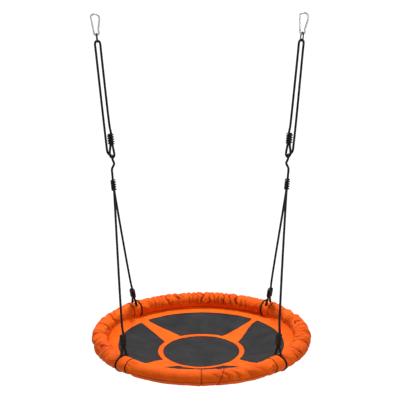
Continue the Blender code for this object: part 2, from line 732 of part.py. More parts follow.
def main():
    clear_scene()
    materials = make_materials()
    hang_line = empty("hang_line", (0, 0, 0))
    swing_height = line_point("right", (0, 0, HOOK_BOTTOM)).z
    ring_axis = empty("ring_swing_axis", (0, 0, swing_height))
    seat_axis = empty("seat_swing_axis", (0, 0, swing_height))

    for side, sign in SIDES.items():
        hang = Vector((sign * HANG_HALF, 0, 0))
        turn = sign * LEAN
        frame = line_matrix(side)
        pivot = frame @ GATE_PIVOT
        zinc = materials["zinc"]
        add_hook_body(f"{side}_hook_body", hang_line, hang, turn, zinc)
        add_rivet(f"{side}_hook_rivet", hang_line, pivot, turn, zinc)
        gate_axis = empty(f"{side}_gate_axis", pivot)
        add_gate(f"{side}_hook_gate", gate_axis, pivot, hang, turn, zinc)
        pin = axle((0, 0, 0), LATCH_PIN_RADIUS, GATE_RADIUS)
        place(mesh_object(f"{side}_hook_latch_pin", *pin, zinc), gate_axis, frame @ latch_point(), turn)
        add_gate_spring(f"{side}_hook_gate_spring", gate_axis, hang, turn, zinc)
        add_hanger_ring(f"{side}_hanger_ring", side, ring_axis, materials)
        add_ropes(side, seat_axis, materials)

    add_ring_frame(seat_axis, materials)
    add_padding(seat_axis, materials)
    for name, angle in STATION_ANGLES.items():
        add_station(name, angle, seat_axis, materials)
    add_mat(seat_axis, materials)


main()
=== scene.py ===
"""The looks of the saucer nest swing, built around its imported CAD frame. Metres, +Z up."""

import math

import bmesh
import bpy
import numpy as np
from mathutils import Matrix, Vector, noise


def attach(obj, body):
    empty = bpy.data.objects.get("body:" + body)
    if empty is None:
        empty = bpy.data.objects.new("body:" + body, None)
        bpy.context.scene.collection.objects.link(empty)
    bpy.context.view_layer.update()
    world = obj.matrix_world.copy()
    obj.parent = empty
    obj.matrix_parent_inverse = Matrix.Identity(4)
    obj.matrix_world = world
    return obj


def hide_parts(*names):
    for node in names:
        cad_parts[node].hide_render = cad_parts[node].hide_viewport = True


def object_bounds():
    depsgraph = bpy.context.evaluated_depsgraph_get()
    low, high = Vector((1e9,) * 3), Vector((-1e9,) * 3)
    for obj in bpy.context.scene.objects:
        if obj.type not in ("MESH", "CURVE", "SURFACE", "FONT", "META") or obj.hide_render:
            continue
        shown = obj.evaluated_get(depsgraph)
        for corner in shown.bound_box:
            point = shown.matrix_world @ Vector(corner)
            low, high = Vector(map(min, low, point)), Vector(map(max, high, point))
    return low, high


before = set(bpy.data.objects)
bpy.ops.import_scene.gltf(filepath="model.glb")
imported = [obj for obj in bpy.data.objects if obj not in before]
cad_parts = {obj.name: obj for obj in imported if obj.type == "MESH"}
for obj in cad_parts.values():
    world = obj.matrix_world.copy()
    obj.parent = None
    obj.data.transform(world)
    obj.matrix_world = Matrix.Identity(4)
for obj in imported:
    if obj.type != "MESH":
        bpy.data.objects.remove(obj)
cad_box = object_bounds()

MM = 0.001
SIDES = {"left": -1, "right": 1}
STATIONS = {"rear_right": 45, "rear_left": 135, "front_left": 225, "front_right": 315}

# Layout, repeated from the CAD: the origin is halfway between the hooks' bows
HANG_HALF = 0.421
DROP = 1.365  # from the origin down to the middle of the ring's tube
RING_RADIUS = 0.438
COVER_RADIUS = 0.037
BAND_WIDTH = 0.047
GAP = 0.0003

# Ropes, repeated from the CAD: a whipping's start and end lie down its line or up its leg
ROPE_RADIUS = 0.004
STRAND_HALF = ROPE_RADIUS + GAP / 2
ROPE_TOP = 0.1021
ADJUSTER_WHIPPING = (0.485, 0.530)
V_WHIPPING = (0.679, 0.725)
EYE_WHIPPING = {-1: (0.067, 0.112), 1: (0.081, 0.127)}
RIM_EYE_HALF = 0.0194
RING_TURN = {"left": 0.0, "right": 21.0}
ADJUSTER_OUT = -10.2  # from the line out to the adjuster's eye, in millimetres

BAND_SHIFT = 0.0140  # how far along the ring each band lies to one side of its rope, in metres
BAND_TURN = math.degrees(BAND_SHIFT / RING_RADIUS)
BAND_HALF_ANGLE = math.degrees(BAND_WIDTH / 2 / RING_RADIUS)
STATION_HALF = RING_RADIUS * math.cos(math.radians(BAND_HALF_ANGLE)) / math.sqrt(2)
LEAN = math.atan2(HANG_HALF - STATION_HALF, DROP)

# ---- camera and studio

CAMERA_PLACE = (0.019, -3.718, 0.137)
CAMERA_TURN = (13.65, -0.315, -0.354)  # pitch down, yaw and roll, in degrees
CAMERA_LENS = 81.8


def add_camera():
    data = bpy.data.cameras.new("camera")
    data.lens, data.sensor_width = CAMERA_LENS, 36.0
    camera = bpy.data.objects.new("camera", data)
    bpy.context.collection.objects.link(camera)
    pitch, yaw, roll = map(math.radians, CAMERA_TURN)
    forward = Vector((math.sin(yaw) * math.cos(pitch), math.cos(yaw) * math.cos(pitch), -math.sin(pitch)))
    right = Vector((math.cos(yaw), -math.sin(yaw), 0))
    up = right.cross(forward)
    image_right = right * math.cos(roll) + up * math.sin(roll)
    image_up = up * math.cos(roll) - right * math.sin(roll)
    turn = Matrix((image_right, image_up, -forward)).transposed().to_4x4()
    camera.matrix_world = Matrix.Translation(CAMERA_PLACE) @ turn
    bpy.context.scene.camera = camera


def add_area_light(name, location, target, power, size):
    data = bpy.data.lights.new(name, "AREA")
    data.energy, data.size = power, size
    light = bpy.data.objects.new(name, data)
    light.location = location
    light.rotation_euler = (Vector(target) - Vector(location)).to_track_quat("-Z", "Y").to_euler()
    bpy.context.collection.objects.link(light)


BACKDROP_RADIUS = 40.0
BACKDROP_ROWS, BACKDROP_COLUMNS = 25, 48
FLOOR_DROP = 0.42  # from the object's lowest point to the floor
SKY_STRENGTH = (0.70, 0.40)  # from below, and from above


def add_studio():
    """An overhead softbox and two weaker ones, a white sky that is stronger from below, and a pale floor
    with a backdrop all round."""
    seat = (0, 0, -DROP)
    add_area_light("overhead_softbox", (-0.15, 0.95, 1.4), seat, 112, 0.7)
    add_area_light("left_softbox", (-2.8, 0.5, 0.0), seat, 9, 1.0)
    add_area_light("right_softbox", (2.7, -1.9, 0.2), seat, 26, 1.2)
    world = bpy.data.worlds.new("studio")
    world.use_nodes = True
    tree = world.node_tree
    split = tree.nodes.new("ShaderNodeSeparateXYZ")
    tree.links.new(tree.nodes.new("ShaderNodeTexCoord").outputs["Generated"], split.inputs[0])
    height = tree.nodes.new("ShaderNodeMapRange")
    height.inputs["From Min"].default_value, height.inputs["From Max"].default_value = -0.5, 0.7
    height.inputs["To Min"].default_value, height.inputs["To Max"].default_value = SKY_STRENGTH
    tree.links.new(split.outputs["Z"], height.inputs["Value"])
    tree.links.new(height.outputs["Result"], tree.nodes["Background"].inputs["Strength"])
    tree.nodes["Background"].inputs["Color"].default_value = (1.0, 1.0, 1.0, 1.0)
    bpy.context.scene.world = world
    bpy.context.scene.view_settings.view_transform = "Standard"
    turn = full_turn(BACKDROP_COLUMNS)[None, :]
    tilt = np.linspace(-0.5 * np.pi, 0.5 * np.pi, BACKDROP_ROWS)[:, None]
    shell = np.broadcast_arrays(np.cos(tilt) * np.cos(turn), np.cos(tilt) * np.sin(turn), np.sin(tilt))
    corners = (np.stack(shell, -1) * BACKDROP_RADIUS + seat).reshape(-1, 3)
    corners[:, 2] = np.maximum(corners[:, 2], cad_box[0].z - FLOOR_DROP)
    faces = grid_faces(BACKDROP_ROWS, BACKDROP_COLUMNS, closed_columns=True)[:, ::-1]
    backdrop = new_piece("floor_and_backdrop", corners, faces, None)
    paper = Surface("white_paper", 0.9, colour=(0.0, 0.0, 0.0), Specular_IOR_Level=0.0)
    paper.shader.inputs["Emission Color"].default_value = (1.0, 1.0, 1.0, 1.0)
    paper.shader.inputs["Emission Strength"].default_value = 1.1
    backdrop.data.materials.append(paper.material)
    backdrop.visible_diffuse = False
    backdrop.visible_glossy = False
    backdrop.visible_shadow = False


# ---- mesh helpers


def new_piece(name, points, faces, material, uvs=None):
    """A mesh object. uvs holds one (u, v) for each corner of each face, in metres."""
    mesh = bpy.data.meshes.new(name)
    mesh.from_pydata(np.asarray(points, float).tolist(), [], [list(map(int, f)) for f in faces])
    if uvs is not None:
        layer = mesh.uv_layers.new(name="cloth")
        layer.data.foreach_set("uv", np.asarray(uvs, np.float32).ravel())
    mesh.shade_smooth()
    if material is not None:
        mesh.materials.append(material)
    piece = bpy.data.objects.new(name, mesh)
    bpy.context.collection.objects.link(piece)
    return piece


def grid_faces(rows, columns, closed_rows=False, closed_columns=False, start=0):
    """Quads of a grid of points that lists each row in turn."""
    row = np.arange(rows if closed_rows else rows - 1)
    column = np.arange(columns if closed_columns else columns - 1)
    row, column = np.meshgrid(row, column, indexing="ij")
    below, beside = (row + 1) % rows, (column + 1) % columns
    near, far = row * columns, below * columns
    corners = (near + column, near + beside, far + beside, far + column)
    return np.stack(corners, -1).reshape(-1, 4) + start


def grid_uvs(rows, columns, row_step, column_step):
    """The corners' (u, v) for grid_faces of a grid that closes along its columns."""
    row, column = np.meshgrid(np.arange(rows - 1), np.arange(columns), indexing="ij")
    corners = ((0, 0), (0, 1), (1, 1), (1, 0))
    uv = [((row + r) * row_step, (column + c) * column_step) for r, c in corners]
    return np.stack([np.stack(pair, -1) for pair in uv], 2).reshape(-1, 2)


def unit(vectors):
    return vectors / np.linalg.norm(vectors, axis=-1, keepdims=True)


def full_turn(steps):
    """Even angles round a full turn."""
    return np.linspace(0, 2 * np.pi, steps, endpoint=False)


def swept(centres, one, other, radius, sides):
    """Points round a line at a radius, across the two unit vectors of each of its points."""
    around = full_turn(sides)[None, :, None]
    direction = one[:, None, :] * np.cos(around) + other[:, None, :] * np.sin(around)
    return centres[:, None, :] + direction * np.broadcast_to(radius, (len(centres), sides))[..., None]


def smooth_noise(points, scale, seed=0.0):
    """Noise from -1 to 1 at each point of an array, with features about scale metres across."""
    flat = np.asarray(points, float).reshape(-1, 3) / scale + seed * 17.31
    values = [noise.noise(Vector(p)) for p in flat]
    return np.clip(np.array(values) * 1.6, -1, 1).reshape(np.asarray(points).shape[:-1])


def outward_faces(piece):
    """Turns the faces of a closed piece outward."""
    shape = bmesh.new()
    shape.from_mesh(piece.data)
    bmesh.ops.recalc_face_normals(shape, faces=shape.faces)
    shape.to_mesh(piece.data)
    shape.free()


def finish_piece(piece, slot, *nodes):
    """Every redrawn piece hangs on the ropes, so it rides with the seat."""
    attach(piece, "seat")
    if nodes:
        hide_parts(*nodes)


def thicken(piece, thickness):
    """Gives a sheet of cloth its thickness, behind its faces."""
    solid = piece.modifiers.new("cloth", "SOLIDIFY")
    solid.thickness, solid.offset = thickness, -1


# ---- rope routes, repeated from the CAD


def line_matrix(side):
    """The frame of a leaning hang line: +X right, +Y rear, -Z down the line."""
    sign = SIDES[side]
    return Matrix.Translation((sign * HANG_HALF, 0, 0)) @ Matrix.Rotation(sign * LEAN, 4, "Y")


def line_point(side, place_on_line):
    out, rear, down = place_on_line
    return line_matrix(side) @ Vector((SIDES[side] * out, rear, -down))


def strand_turn(side, down):
    stations = ((0.11, 1.0), (0.42, 0.72), (0.48, 0.4), (0.60, 0.4), (0.65, 0.0))
    share = stations[0][1] if down <= stations[0][0] else stations[-1][1]
    for (low, first), (high, second) in zip(stations, stations[1:]):
        if low < down < high:
            share = first + (second - first) * (down - low) / (high - low)
    return math.radians(RING_TURN[side]) * share


def turned_point(side, out, rear, down):
    turn = strand_turn(side, down) * SIDES[side]
    turned_out = out * math.cos(turn) - rear * math.sin(turn)
    turned_rear = out * math.sin(turn) + rear * math.cos(turn)
    return line_point(side, (turned_out, turned_rear, down))


def loop_route(side):
    """From the rope's end, round its small eye, over the hanger ring, back through the eye and down to
    the V, as (out, rear, down) in millimetres."""
    inner, outer = ADJUSTER_OUT - STRAND_HALF / MM, ADJUSTER_OUT + STRAND_HALF / MM
    top, bend = ROPE_TOP / MM, 10.5
    tail = [(outer, 0, 483), (outer, 0, 500), (outer, 0, 528), (-3.2, 0, 545), (0.6, 0, 563)]
    eye = [(0.9, 0, 575), (-2.3, 0, 582.6), (-8.3, 0, 586.2), (-14.4, 0, 582.6), (-17.6, 0, 575)]
    rise = [(-17.4, 0, 563), (-15.6, 0, 545), (inner, 0, 528), (inner, 0, 486)]
    rise += [(-11.6, 0, 462), (-10.4, 0, 420)]
    over = [(-bend, 0, top + 40), (-bend, 0, top + bend + 2)]
    for angle in map(math.radians, (35, 62, 90, 118, 145)):
        over.append((-bend * math.cos(angle), 0, top + bend - bend * math.sin(angle)))
    over += [(bend, 0, top + bend + 2), (bend, 0, top + 40), (11.0, 0, 420), (10.8, 0, 538)]
    through = [(10.6, 0.6, 554), (8.6, 5.2, 566.5), (2.4, 9.3, 574.5), (-4.6, 8.8, 577.2)]
    through += [(-8.4, 3.6, 577.6), (-8.5, -3.6, 578.2)]
    twist = [(-8.6, -8.9, 583.5), (-9.6, -9.2, 594.5), (-12.6, -4.8, 605), (-12.4, 0.6, 613)]
    down = [(-7.4, 2.0, 622), (-1.6, 0.9, 631), (0, 0, 642), (0, 0, 656)]
    route = tail + eye + rise + over + through + twist + down
    return [turned_point(side, out * MM, rear * MM, depth * MM) for out, rear, depth in route]


def leg_frame(side, rear):
    """A rope station's centre, the way up its leg, and the way across it."""
    centre = Vector((SIDES[side] * STATION_HALF, rear * STATION_HALF, -DROP))
    top = line_point(side, (0, rear * STRAND_HALF, V_WHIPPING[1] + 0.006))
    along = (top - centre).normalized()
    tangent = Vector((-rear * SIDES[side], 1, 0)).normalized()
    return centre, along, tangent.cross(along).normalized()


def leg_route(side, rear):
    """Down the leg, through its whipping, round the ring tube and back up into the whipping."""
    centre, along, across = leg_frame(side, rear)
    low, high = EYE_WHIPPING[rear]
    whipped = [(high + 0.030, 0.0), (high, STRAND_HALF), (low, STRAND_HALF)]
    open_side = [(low - 0.015, 0.0079), (low - 0.031, 0.0132), (0.022, 0.0174)]
    half = RIM_EYE_HALF
    long_half = half * 1.07
    turns = map(math.radians, range(-15, 196, 30))
    under = [(-long_half * math.sin(t), half * math.cos(t)) for t in turns]
    back = [(up, -out) for up, out in reversed(open_side)]
    back += [(low, -STRAND_HALF), (high + 0.002, -STRAND_HALF)]
    return [centre + along * up + across * out for up, out in whipped + open_side + under + back]


def v_strand(side, rear):
    start, end = V_WHIPPING
    depths = (start + 0.001, start + 0.020, end - 0.010, end - 0.003, end + 0.001)
    return [line_point(side, (0, rear * STRAND_HALF, down)) for down in depths]


ROUTE_ROUNDING = 14  # rounds of smoothing that take the last corners out of a route


def smooth_route(points, spacing):
    """Even points along a centripetal Catmull-Rom curve through the points."""
    points = [Vector(p) for p in points]
    points = [2 * points[0] - points[1]] + points + [2 * points[-1] - points[-2]]
    fine = []
    for i in range(1, len(points) - 2):
        p0, p1, p2, p3 = points[i - 1 : i + 3]
        t1 = (p1 - p0).length ** 0.5
        t2 = t1 + (p2 - p1).length ** 0.5
        t3 = t2 + (p3 - p2).length ** 0.5
        count = max(4, math.ceil((p2 - p1).length / spacing * 2))
        for k in range(count):
            t = t1 + (t2 - t1) * k / count
            a1 = p0.lerp(p1, t / t1)
            a2 = p1.lerp(p2, (t - t1) / (t2 - t1))
            a3 = p2.lerp(p3, (t - t2) / (t3 - t2))
            b1 = a1.lerp(a2, t / t2)
            b2 = a2.lerp(a3, (t - t1) / (t3 - t1))
            fine.append(b1.lerp(b2, (t - t1) / (t2 - t1)))
    fine = np.array([tuple(p) for p in fine + [points[-2]]])
    along = np.concatenate([[0], np.cumsum(np.linalg.norm(np.diff(fine, axis=0), axis=1))])
    even = np.linspace(0, along[-1], max(3, round(along[-1] / spacing) + 1))
    line = np.stack([np.interp(even, along, fine[:, axis]) for axis in range(3)], 1)
    for _ in range(ROUTE_ROUNDING):
        line[1:-1] = 0.25 * line[:-2] + 0.5 * line[1:-1] + 0.25 * line[2:]
    return line, np.linalg.norm(np.diff(line, axis=0), axis=1).sum()


def carried_frames(centres):
    """Two unit vectors across the route at each point, carried along it with no twist."""
    tangents = unit(np.gradient(centres, axis=0))
    first = np.cross(tangents[0], (0.3, 0.2, 1.0))
    firsts = [first / np.linalg.norm(first)]
    for tangent in tangents[1:]:
        carried = firsts[-1] - tangent * (firsts[-1] @ tangent)
        firsts.append(carried / np.linalg.norm(carried))
    firsts = np.array(firsts)
    return firsts, np.cross(tangents, firsts)


def capped(rows, columns, first_centre, last_centre, points):
    """The points with a cap's middle added at each end of a tube, and the caps' faces."""
    points = np.concatenate([points, [first_centre], [last_centre]])
    first, last = len(points) - 2, len(points) - 1
    ring = np.arange(columns)
    start_cap = [(first, (k + 1) % columns, k) for k in ring]
    base = (rows - 1) * columns
    end_cap = [(last, base + k, base + (k + 1) % columns) for k in ring]
    return points, start_cap + end_cap


# ---- ropes and whippings

ROPE_SPACING = 0.0013
ROPE_SIDES = 20
ROPE_STRANDS = 6  # strands of the braid each way
BRAID_PITCH = 0.030  # length of a strand's full turn
BRAID_DEPTH = 0.0006
ROPE_BODY = 0.0044  # radius of the braid's valleys


def braid_height(around, along):
    """How high a two-way braid stands, from 0 to 1, at an angle and a distance along a rope."""
    one = ROPE_STRANDS * (around / (2 * np.pi) + along / BRAID_PITCH)
    other = ROPE_STRANDS * (around / (2 * np.pi) - along / BRAID_PITCH)
    on_top = (np.floor(one) + np.floor(other)) % 2 == 0
    across = np.where(on_top, one % 1, other % 1) - 0.5
    lengthwise = np.where(on_top, other % 1, one % 1) - 0.5
    return np.cos(np.pi * across) ** 0.6 * (0.55 + 0.45 * np.cos(np.pi * lengthwise))


def add_rope(name, points, material, node):
    centres, length = smooth_route(points, ROPE_SPACING)
    one, other = carried_frames(centres)
    rows = len(centres)
    around = full_turn(ROPE_SIDES)[None, :]
    along = np.linspace(0, length, rows)[:, None]
    radius = ROPE_BODY + BRAID_DEPTH * braid_height(around, along)
    from_end = np.minimum(along, length - along)
    end_share = np.sqrt(np.clip(1 - (1 - np.clip(from_end / 0.0025, 0, 1)) ** 2, 0.16, 1))
    surface = swept(centres, one, other, radius * end_share, ROPE_SIDES)
    points, caps = capped(rows, ROPE_SIDES, centres[0], centres[-1], surface.reshape(-1, 3))
    faces = grid_faces(rows, ROPE_SIDES, closed_columns=True)[:, ::-1]
    uvs = grid_uvs(rows, ROPE_SIDES, ROPE_SPACING, 2 * math.pi * ROPE_RADIUS / ROPE_SIDES)
    uvs = uvs[:, ::-1].reshape(-1, 4, 2)[:, ::-1].reshape(-1, 2)  # the faces' corners run in reverse
    uvs = np.concatenate([uvs, np.zeros((len(caps) * 3, 2))])
    rope = new_piece(name, points, faces.tolist() + caps, material, uvs)
    outward_faces(rope)
    finish_piece(rope, "rope", node)


WHIPPING_TURNS = 4.5  # thick lays that show on a whipping
THREAD_PITCH = 0.0011


def stadium_point(turn, radius, half):
    """Points of a rounded slot outline at a share of its way round: (across, normal)."""
    straight, arc = 2 * half, math.pi * radius
    way = (turn % 1.0) * (2 * straight + 2 * arc)
    if way < arc:
        angle = way / radius - math.pi / 2
        return half + radius * math.cos(angle), radius * math.sin(angle)
    way -= arc
    if way < straight:
        return half - way, radius
    way -= straight
    if way < arc:
        angle = way / radius + math.pi / 2
        return -half + radius * math.cos(angle), radius * math.sin(angle)
    return -half + (way - arc), -radius


def add_whipping(name, centre, along, across, half_length, lay_depth, outer, material):
    """Twine bound tight round two strands: thick lays, with the twine's own thread winding on them."""
    normal = along.cross(across).normalized()
    rows, columns = 150, 56
    points = []
    for row in range(rows):
        share = row / (rows - 1)
        down = (share * 2 - 1) * half_length
        edge = 1 - abs(share * 2 - 1)
        close = math.sqrt(max(0.0, 1 - (1 - min(1.0, edge / 0.07)) ** 2))
        for column in range(columns):
            turn = column / columns
            lay = min(1.0, max(0.0, 0.62 - 0.95 * math.cos(2 * math.pi * (share * WHIPPING_TURNS + turn))))
            thread = abs(math.sin(math.pi * (down / THREAD_PITCH + turn)))
            radius = outer - lay_depth * (1 - lay**0.6) - 0.00022 * (1 - thread)
            radius = ROPE_RADIUS + (radius - ROPE_RADIUS) * close
            out, up = stadium_point(turn, radius, STRAND_HALF)
            points.append(centre + along * down + across * out + normal * up)
    points, caps = capped(
        rows, columns, centre - along * half_length, centre + along * half_length, np.array(points)
    )
    faces = grid_faces(rows, columns, closed_columns=True).tolist() + caps
    whipping = new_piece(name + "_binding", points, faces, material)
    outward_faces(whipping)
    finish_piece(whipping, "rope", name)


def add_ropes(side, materials):
    rope, twine = materials["rope"], materials["twine"]
    front = v_strand(side, -1) + leg_route(side, -1)
    rear = v_strand(side, 1) + leg_route(side, 1)
    add_rope(f"{side}_braided_main_rope", loop_route(side) + front, rope, f"{side}_main_rope")
    add_rope(f"{side}_braided_rear_leg", rear, rope, f"{side}_rear_leg_rope")

    down_line = line_matrix(side).to_3x3() @ Vector((0, 0, -1))
    middle = sum(ADJUSTER_WHIPPING) / 2
    half = (ADJUSTER_WHIPPING[1] - ADJUSTER_WHIPPING[0]) / 2
    centre = turned_point(side, ADJUSTER_OUT * MM, 0, middle)
    across = (centre - line_point(side, (0, 0, middle))).normalized()
    add_whipping(f"{side}_adjuster_whipping", centre, down_line, across, half, 0.0048, 0.0102, twine)
    middle = sum(V_WHIPPING) / 2
    half = (V_WHIPPING[1] - V_WHIPPING[0]) / 2
    centre = line_point(side, (0, 0, middle))
    add_whipping(f"{side}_v_whipping", centre, down_line, Vector((0, 1, 0)), half, 0.0050, 0.0112, twine)
    for label, sign in (("front", -1), ("rear", 1)):
        foot, along, across = leg_frame(side, sign)
        low, high = EYE_WHIPPING[sign]
        middle = foot + along * (low + high) / 2
        half = (high - low) / 2
        name = f"{side}_{label}_eye_whipping"
        add_whipping(name, middle, along, across, half, 0.0013, 0.0105, twine)


# ---- ring covers


def ring_point(angle, around, radius):
    """Points of the ring's round section: angle about the swing, around the tube, both in radians."""
    rho = RING_RADIUS + radius * np.cos(around)
    height = radius * np.sin(around) - DROP
    return np.stack([rho * np.cos(angle), rho * np.sin(angle), height], -1)


def ramp(value, low, high):
    share = np.clip((value - low) / (high - low), 0, 1)
    return share * share * (3 - 2 * share)


# Where each padded run lies about the ring, and its half length, in degrees: the bands lie towards the
# front run at the front and away from the rear run at the rear
RUN_SPANS = {
    "right": (-BAND_TURN, 45 - BAND_HALF_ANGLE),
    "rear": (90, 45 - BAND_HALF_ANGLE + BAND_TURN),
    "left": (180 + BAND_TURN, 45 - BAND_HALF_ANGLE),
    "front": (270, 45 - BAND_HALF_ANGLE - BAND_TURN),
}
FRONT_DROP = ((0, 0.0078), (30, 0.0092), (45, 0.0112), (54, 0.0088), (76, 0.0010), (90, 0.0), (180, 0.0))


def padding_point(angle, around, radius):
    """A point of the padding. The front's padding is squeezed down on its tube, most at its ropes."""
    points = ring_point(angle, around, radius)
    from_front = np.degrees(np.abs((angle + 0.5 * np.pi + np.pi) % (2 * np.pi) - np.pi))
    drop = np.interp(from_front, *zip(*FRONT_DROP)) * ramp(np.sin(around), -0.75, 0.95)
    points[..., 2] -= drop * np.clip(radius / COVER_RADIUS, 0, 1)
    return points


# How each cover is gathered: fold spacing, depth and slant, and where round the section the folds
# start, reach full depth, begin to fade and end, in degrees: 0 outer side, 90 top, 180 inner side
GATHERS = {
    "left": dict(pitch=0.0420, depth=0.0160, slant=-0.40, span=(-75, -15, 150, 205), seed=3.0),
    "right": dict(pitch=0.0400, depth=0.0160, slant=0.55, span=(-75, -15, 150, 208), seed=7.0),
    "rear": dict(pitch=0.0285, depth=0.0150, slant=0.15, span=(20, 80, 178, 203), seed=11.0),
    "front": dict(pitch=0.0480, depth=0.0080, slant=1.1, span=(-26, 8, 115, 175), seed=15.0),
}
# How strongly painted shade darkens each cover's creases
CREASE_SHADE = {"left": 1.15, "right": 1.15, "rear": 1.1, "front": 0.40}
COVER_BODY = 0.0354  # radius of the cover between its folds
# Whether the thick cord, the one beside the rope, is at a cover's first and at its last end
THICK_CORD = {"left": (False, True), "right": (True, False), "rear": (True, True), "front": (False, False)}
FOAM_BORE = 0.0168
COVER_STEP = 0.0024  # spacing of the finished cover's points
COVER_INSET = 0.0008  # from a cover's end to the middle of its edge cord
SEAM_WIDTH = 0.0026
SEAM_DEPTH = 0.0022
UNDER_SEAM = -14  # the front cover's lengthwise seam, round its section
INNER_SEAM = 197  # the rear cover's lengthwise seam


def fold_height(angle, around, run, half):
    """How far the gathered cloth stands out, in metres, with round crests and sharp valleys between,
    and how deep in a crease it is, from 0 to 1, which sets the painted shade that darkens the crease."""
    gather = GATHERS[run]
    seed = gather["seed"]
    along = angle * RING_RADIUS
    place = np.stack([along, COVER_RADIUS * np.cos(around), COVER_RADIUS * np.sin(around)], -1)
    warp = smooth_noise(place * (1.0, 0.7, 0.7), 0.070, seed) * 0.60
    warp += smooth_noise(place, 0.030, seed + 1) * 0.22
    phase = along / gather["pitch"] + warp + gather["slant"] * around / np.pi
    crest = np.abs(np.sin(np.pi * phase)) ** 0.85
    second = np.abs(np.sin(np.pi * (phase * 2.17 + 0.8 * warp + seed))) ** 0.85
    broad = np.abs(np.sin(np.pi * (phase * 0.5 + 0.3 * warp))) ** 0.9
    live = np.clip(0.85 + 0.60 * smooth_noise(place * (1.0, 0.6, 0.6), 0.040, seed + 2), 0.25, 1.15)
    start, full, fade, end = map(math.radians, gather["span"])
    span = ramp(around, start, full) * (1 - ramp(around, fade, end))
    near_end = ramp(half * RING_RADIUS - np.abs(along), 0.020, 0.120)
    soft = smooth_noise(place, 0.050, seed + 3) * 0.0011 + smooth_noise(place, 0.014, seed + 4) * 0.0004
    amount = gather["depth"] * span * live * (0.10 + 0.90 * near_end)
    if run == "front":
        amount = amount * (0.30 + 0.85 * ramp(along, -0.10, 0.12))
    height = amount * (0.55 * crest + 0.20 * second + 0.25 * broad - 0.74) + soft
    crease = amount / gather["depth"] * ((1 - crest) ** 2.5 + 0.6 * (1 - second) ** 3)
    return height, np.clip(CREASE_SHADE[run] * crease, 0, 1)


def groove(distance):
    """The dent that a seam pulls in, at a distance from it."""
    return -SEAM_DEPTH * np.exp(-((distance / SEAM_WIDTH) ** 2))


def seam_height(run, angle, around):
    """The dents along a cover's own seams, with the cloth puckered a little beside them."""
    along = angle * RING_RADIUS
    pucker = 0.0005 * np.sin(along / 0.0042) ** 2
    if run == "front":
        off_line = COVER_RADIUS * (around - math.radians(UNDER_SEAM))
        height = groove(off_line) + pucker * np.exp(-((off_line / 0.005) ** 2))
        height += groove(along - 0.002)
        height += groove(along - 0.080 - 0.35 * COVER_RADIUS * (around - math.pi / 4))
        return height
    if run == "rear":
        off_line = COVER_RADIUS * (around - math.radians(INNER_SEAM))
        return groove(off_line) + pucker * np.exp(-((off_line / 0.006) ** 2))
    return np.zeros_like(angle)


def wrapped_grid(half, step):
    """(angle, around) of a grid round the padded tube, from -half to half along the ring. around runs from
    -90 degrees, the underside, up the outer side, over the top and down the inner side."""
    rows = round(2 * half * RING_RADIUS / step) + 1
    columns = round(2 * math.pi * COVER_RADIUS / step)
    angle = np.linspace(-half, half, rows)[:, None] + np.zeros((1, columns))
    around = np.linspace(-0.5 * np.pi, 1.5 * np.pi, columns, endpoint=False)[None, :] + np.zeros((rows, 1))
    return angle, around


RELAX_FRAMES = 10
RELAX_CAP = 0.0035  # most that a point of the cover may move, in metres
RELAX_SKIP = 2  # the simulated cloth has every second point of the finished one


def relaxed(points):
    """Lets the folded cloth of a cover settle under its padding's pressure: a coarse copy is simulated,
    and its capped movement is spread over the finer points."""
    coarse = points[::RELAX_SKIP, ::RELAX_SKIP]
    rows, columns = coarse.shape[:2]
    flat = coarse.reshape(-1, 3)
    cloth = new_piece("cloth_to_relax", flat, grid_faces(rows, columns, closed_columns=True), None)
    outward_faces(cloth)
    held = cloth.vertex_groups.new(name="held")
    held.add([r * columns + c for r in (0, 1, rows - 2, rows - 1) for c in range(columns)], 1.0, "REPLACE")
    modifier = cloth.modifiers.new("cloth", "CLOTH")
    settings = modifier.settings
    settings.quality = 4
    settings.mass = 0.12
    settings.tension_stiffness = settings.compression_stiffness = 14
    settings.shear_stiffness = 4
    settings.bending_stiffness = 0.08
    settings.tension_damping = settings.compression_damping = settings.shear_damping = 10
    settings.air_damping = 3
    settings.shrink_min = -0.05
    settings.vertex_group_mass = held.name
    settings.use_pressure = True
    settings.uniform_pressure_force = 1.0
    settings.effector_weights.gravity = 0.2
    modifier.collision_settings.use_collision = False
    modifier.point_cache.frame_start, modifier.point_cache.frame_end = 1, RELAX_FRAMES + 1
    for frame_number in range(1, RELAX_FRAMES + 1):
        bpy.context.scene.frame_set(frame_number)
    evaluated = cloth.evaluated_get(bpy.context.evaluated_depsgraph_get())
    settled = np.empty(len(evaluated.data.vertices) * 3, np.float32)
    evaluated.data.vertices.foreach_get("co", settled)
    moved = settled.reshape(rows, columns, 3) - coarse
    bpy.data.objects.remove(cloth)
    bpy.context.scene.frame_set(1)
    far = np.linalg.norm(moved, axis=-1, keepdims=True)
    moved = moved * np.minimum(1, RELAX_CAP / np.maximum(far, 1e-9))
    row_at = np.minimum(np.arange(points.shape[0]) / RELAX_SKIP, rows - 1)
    column_at = np.arange(points.shape[1]) / RELAX_SKIP
    low, share = np.floor(row_at).astype(int), (row_at % 1)[:, None, None]
    moved = moved[low] * (1 - share) + moved[np.minimum(low + 1, rows - 1)] * share
    low, share = np.floor(column_at).astype(int), (column_at % 1)[None, :, None]
    moved = moved[:, low % columns] * (1 - share) + moved[:, (low + 1) % columns] * share
    return points + moved


def paint_shade_in_folds(piece, depths):
    """Keeps how deep each point lies in a fold, a seam or the tuck beside a thick cord, from 0 to 1, as
    painted shade that darkens the cloth's colour there.
    """
    layer = piece.data.attributes.new("painted_shade", "FLOAT", "POINT")
    layer.data.foreach_set("value", depths.astype(np.float32))


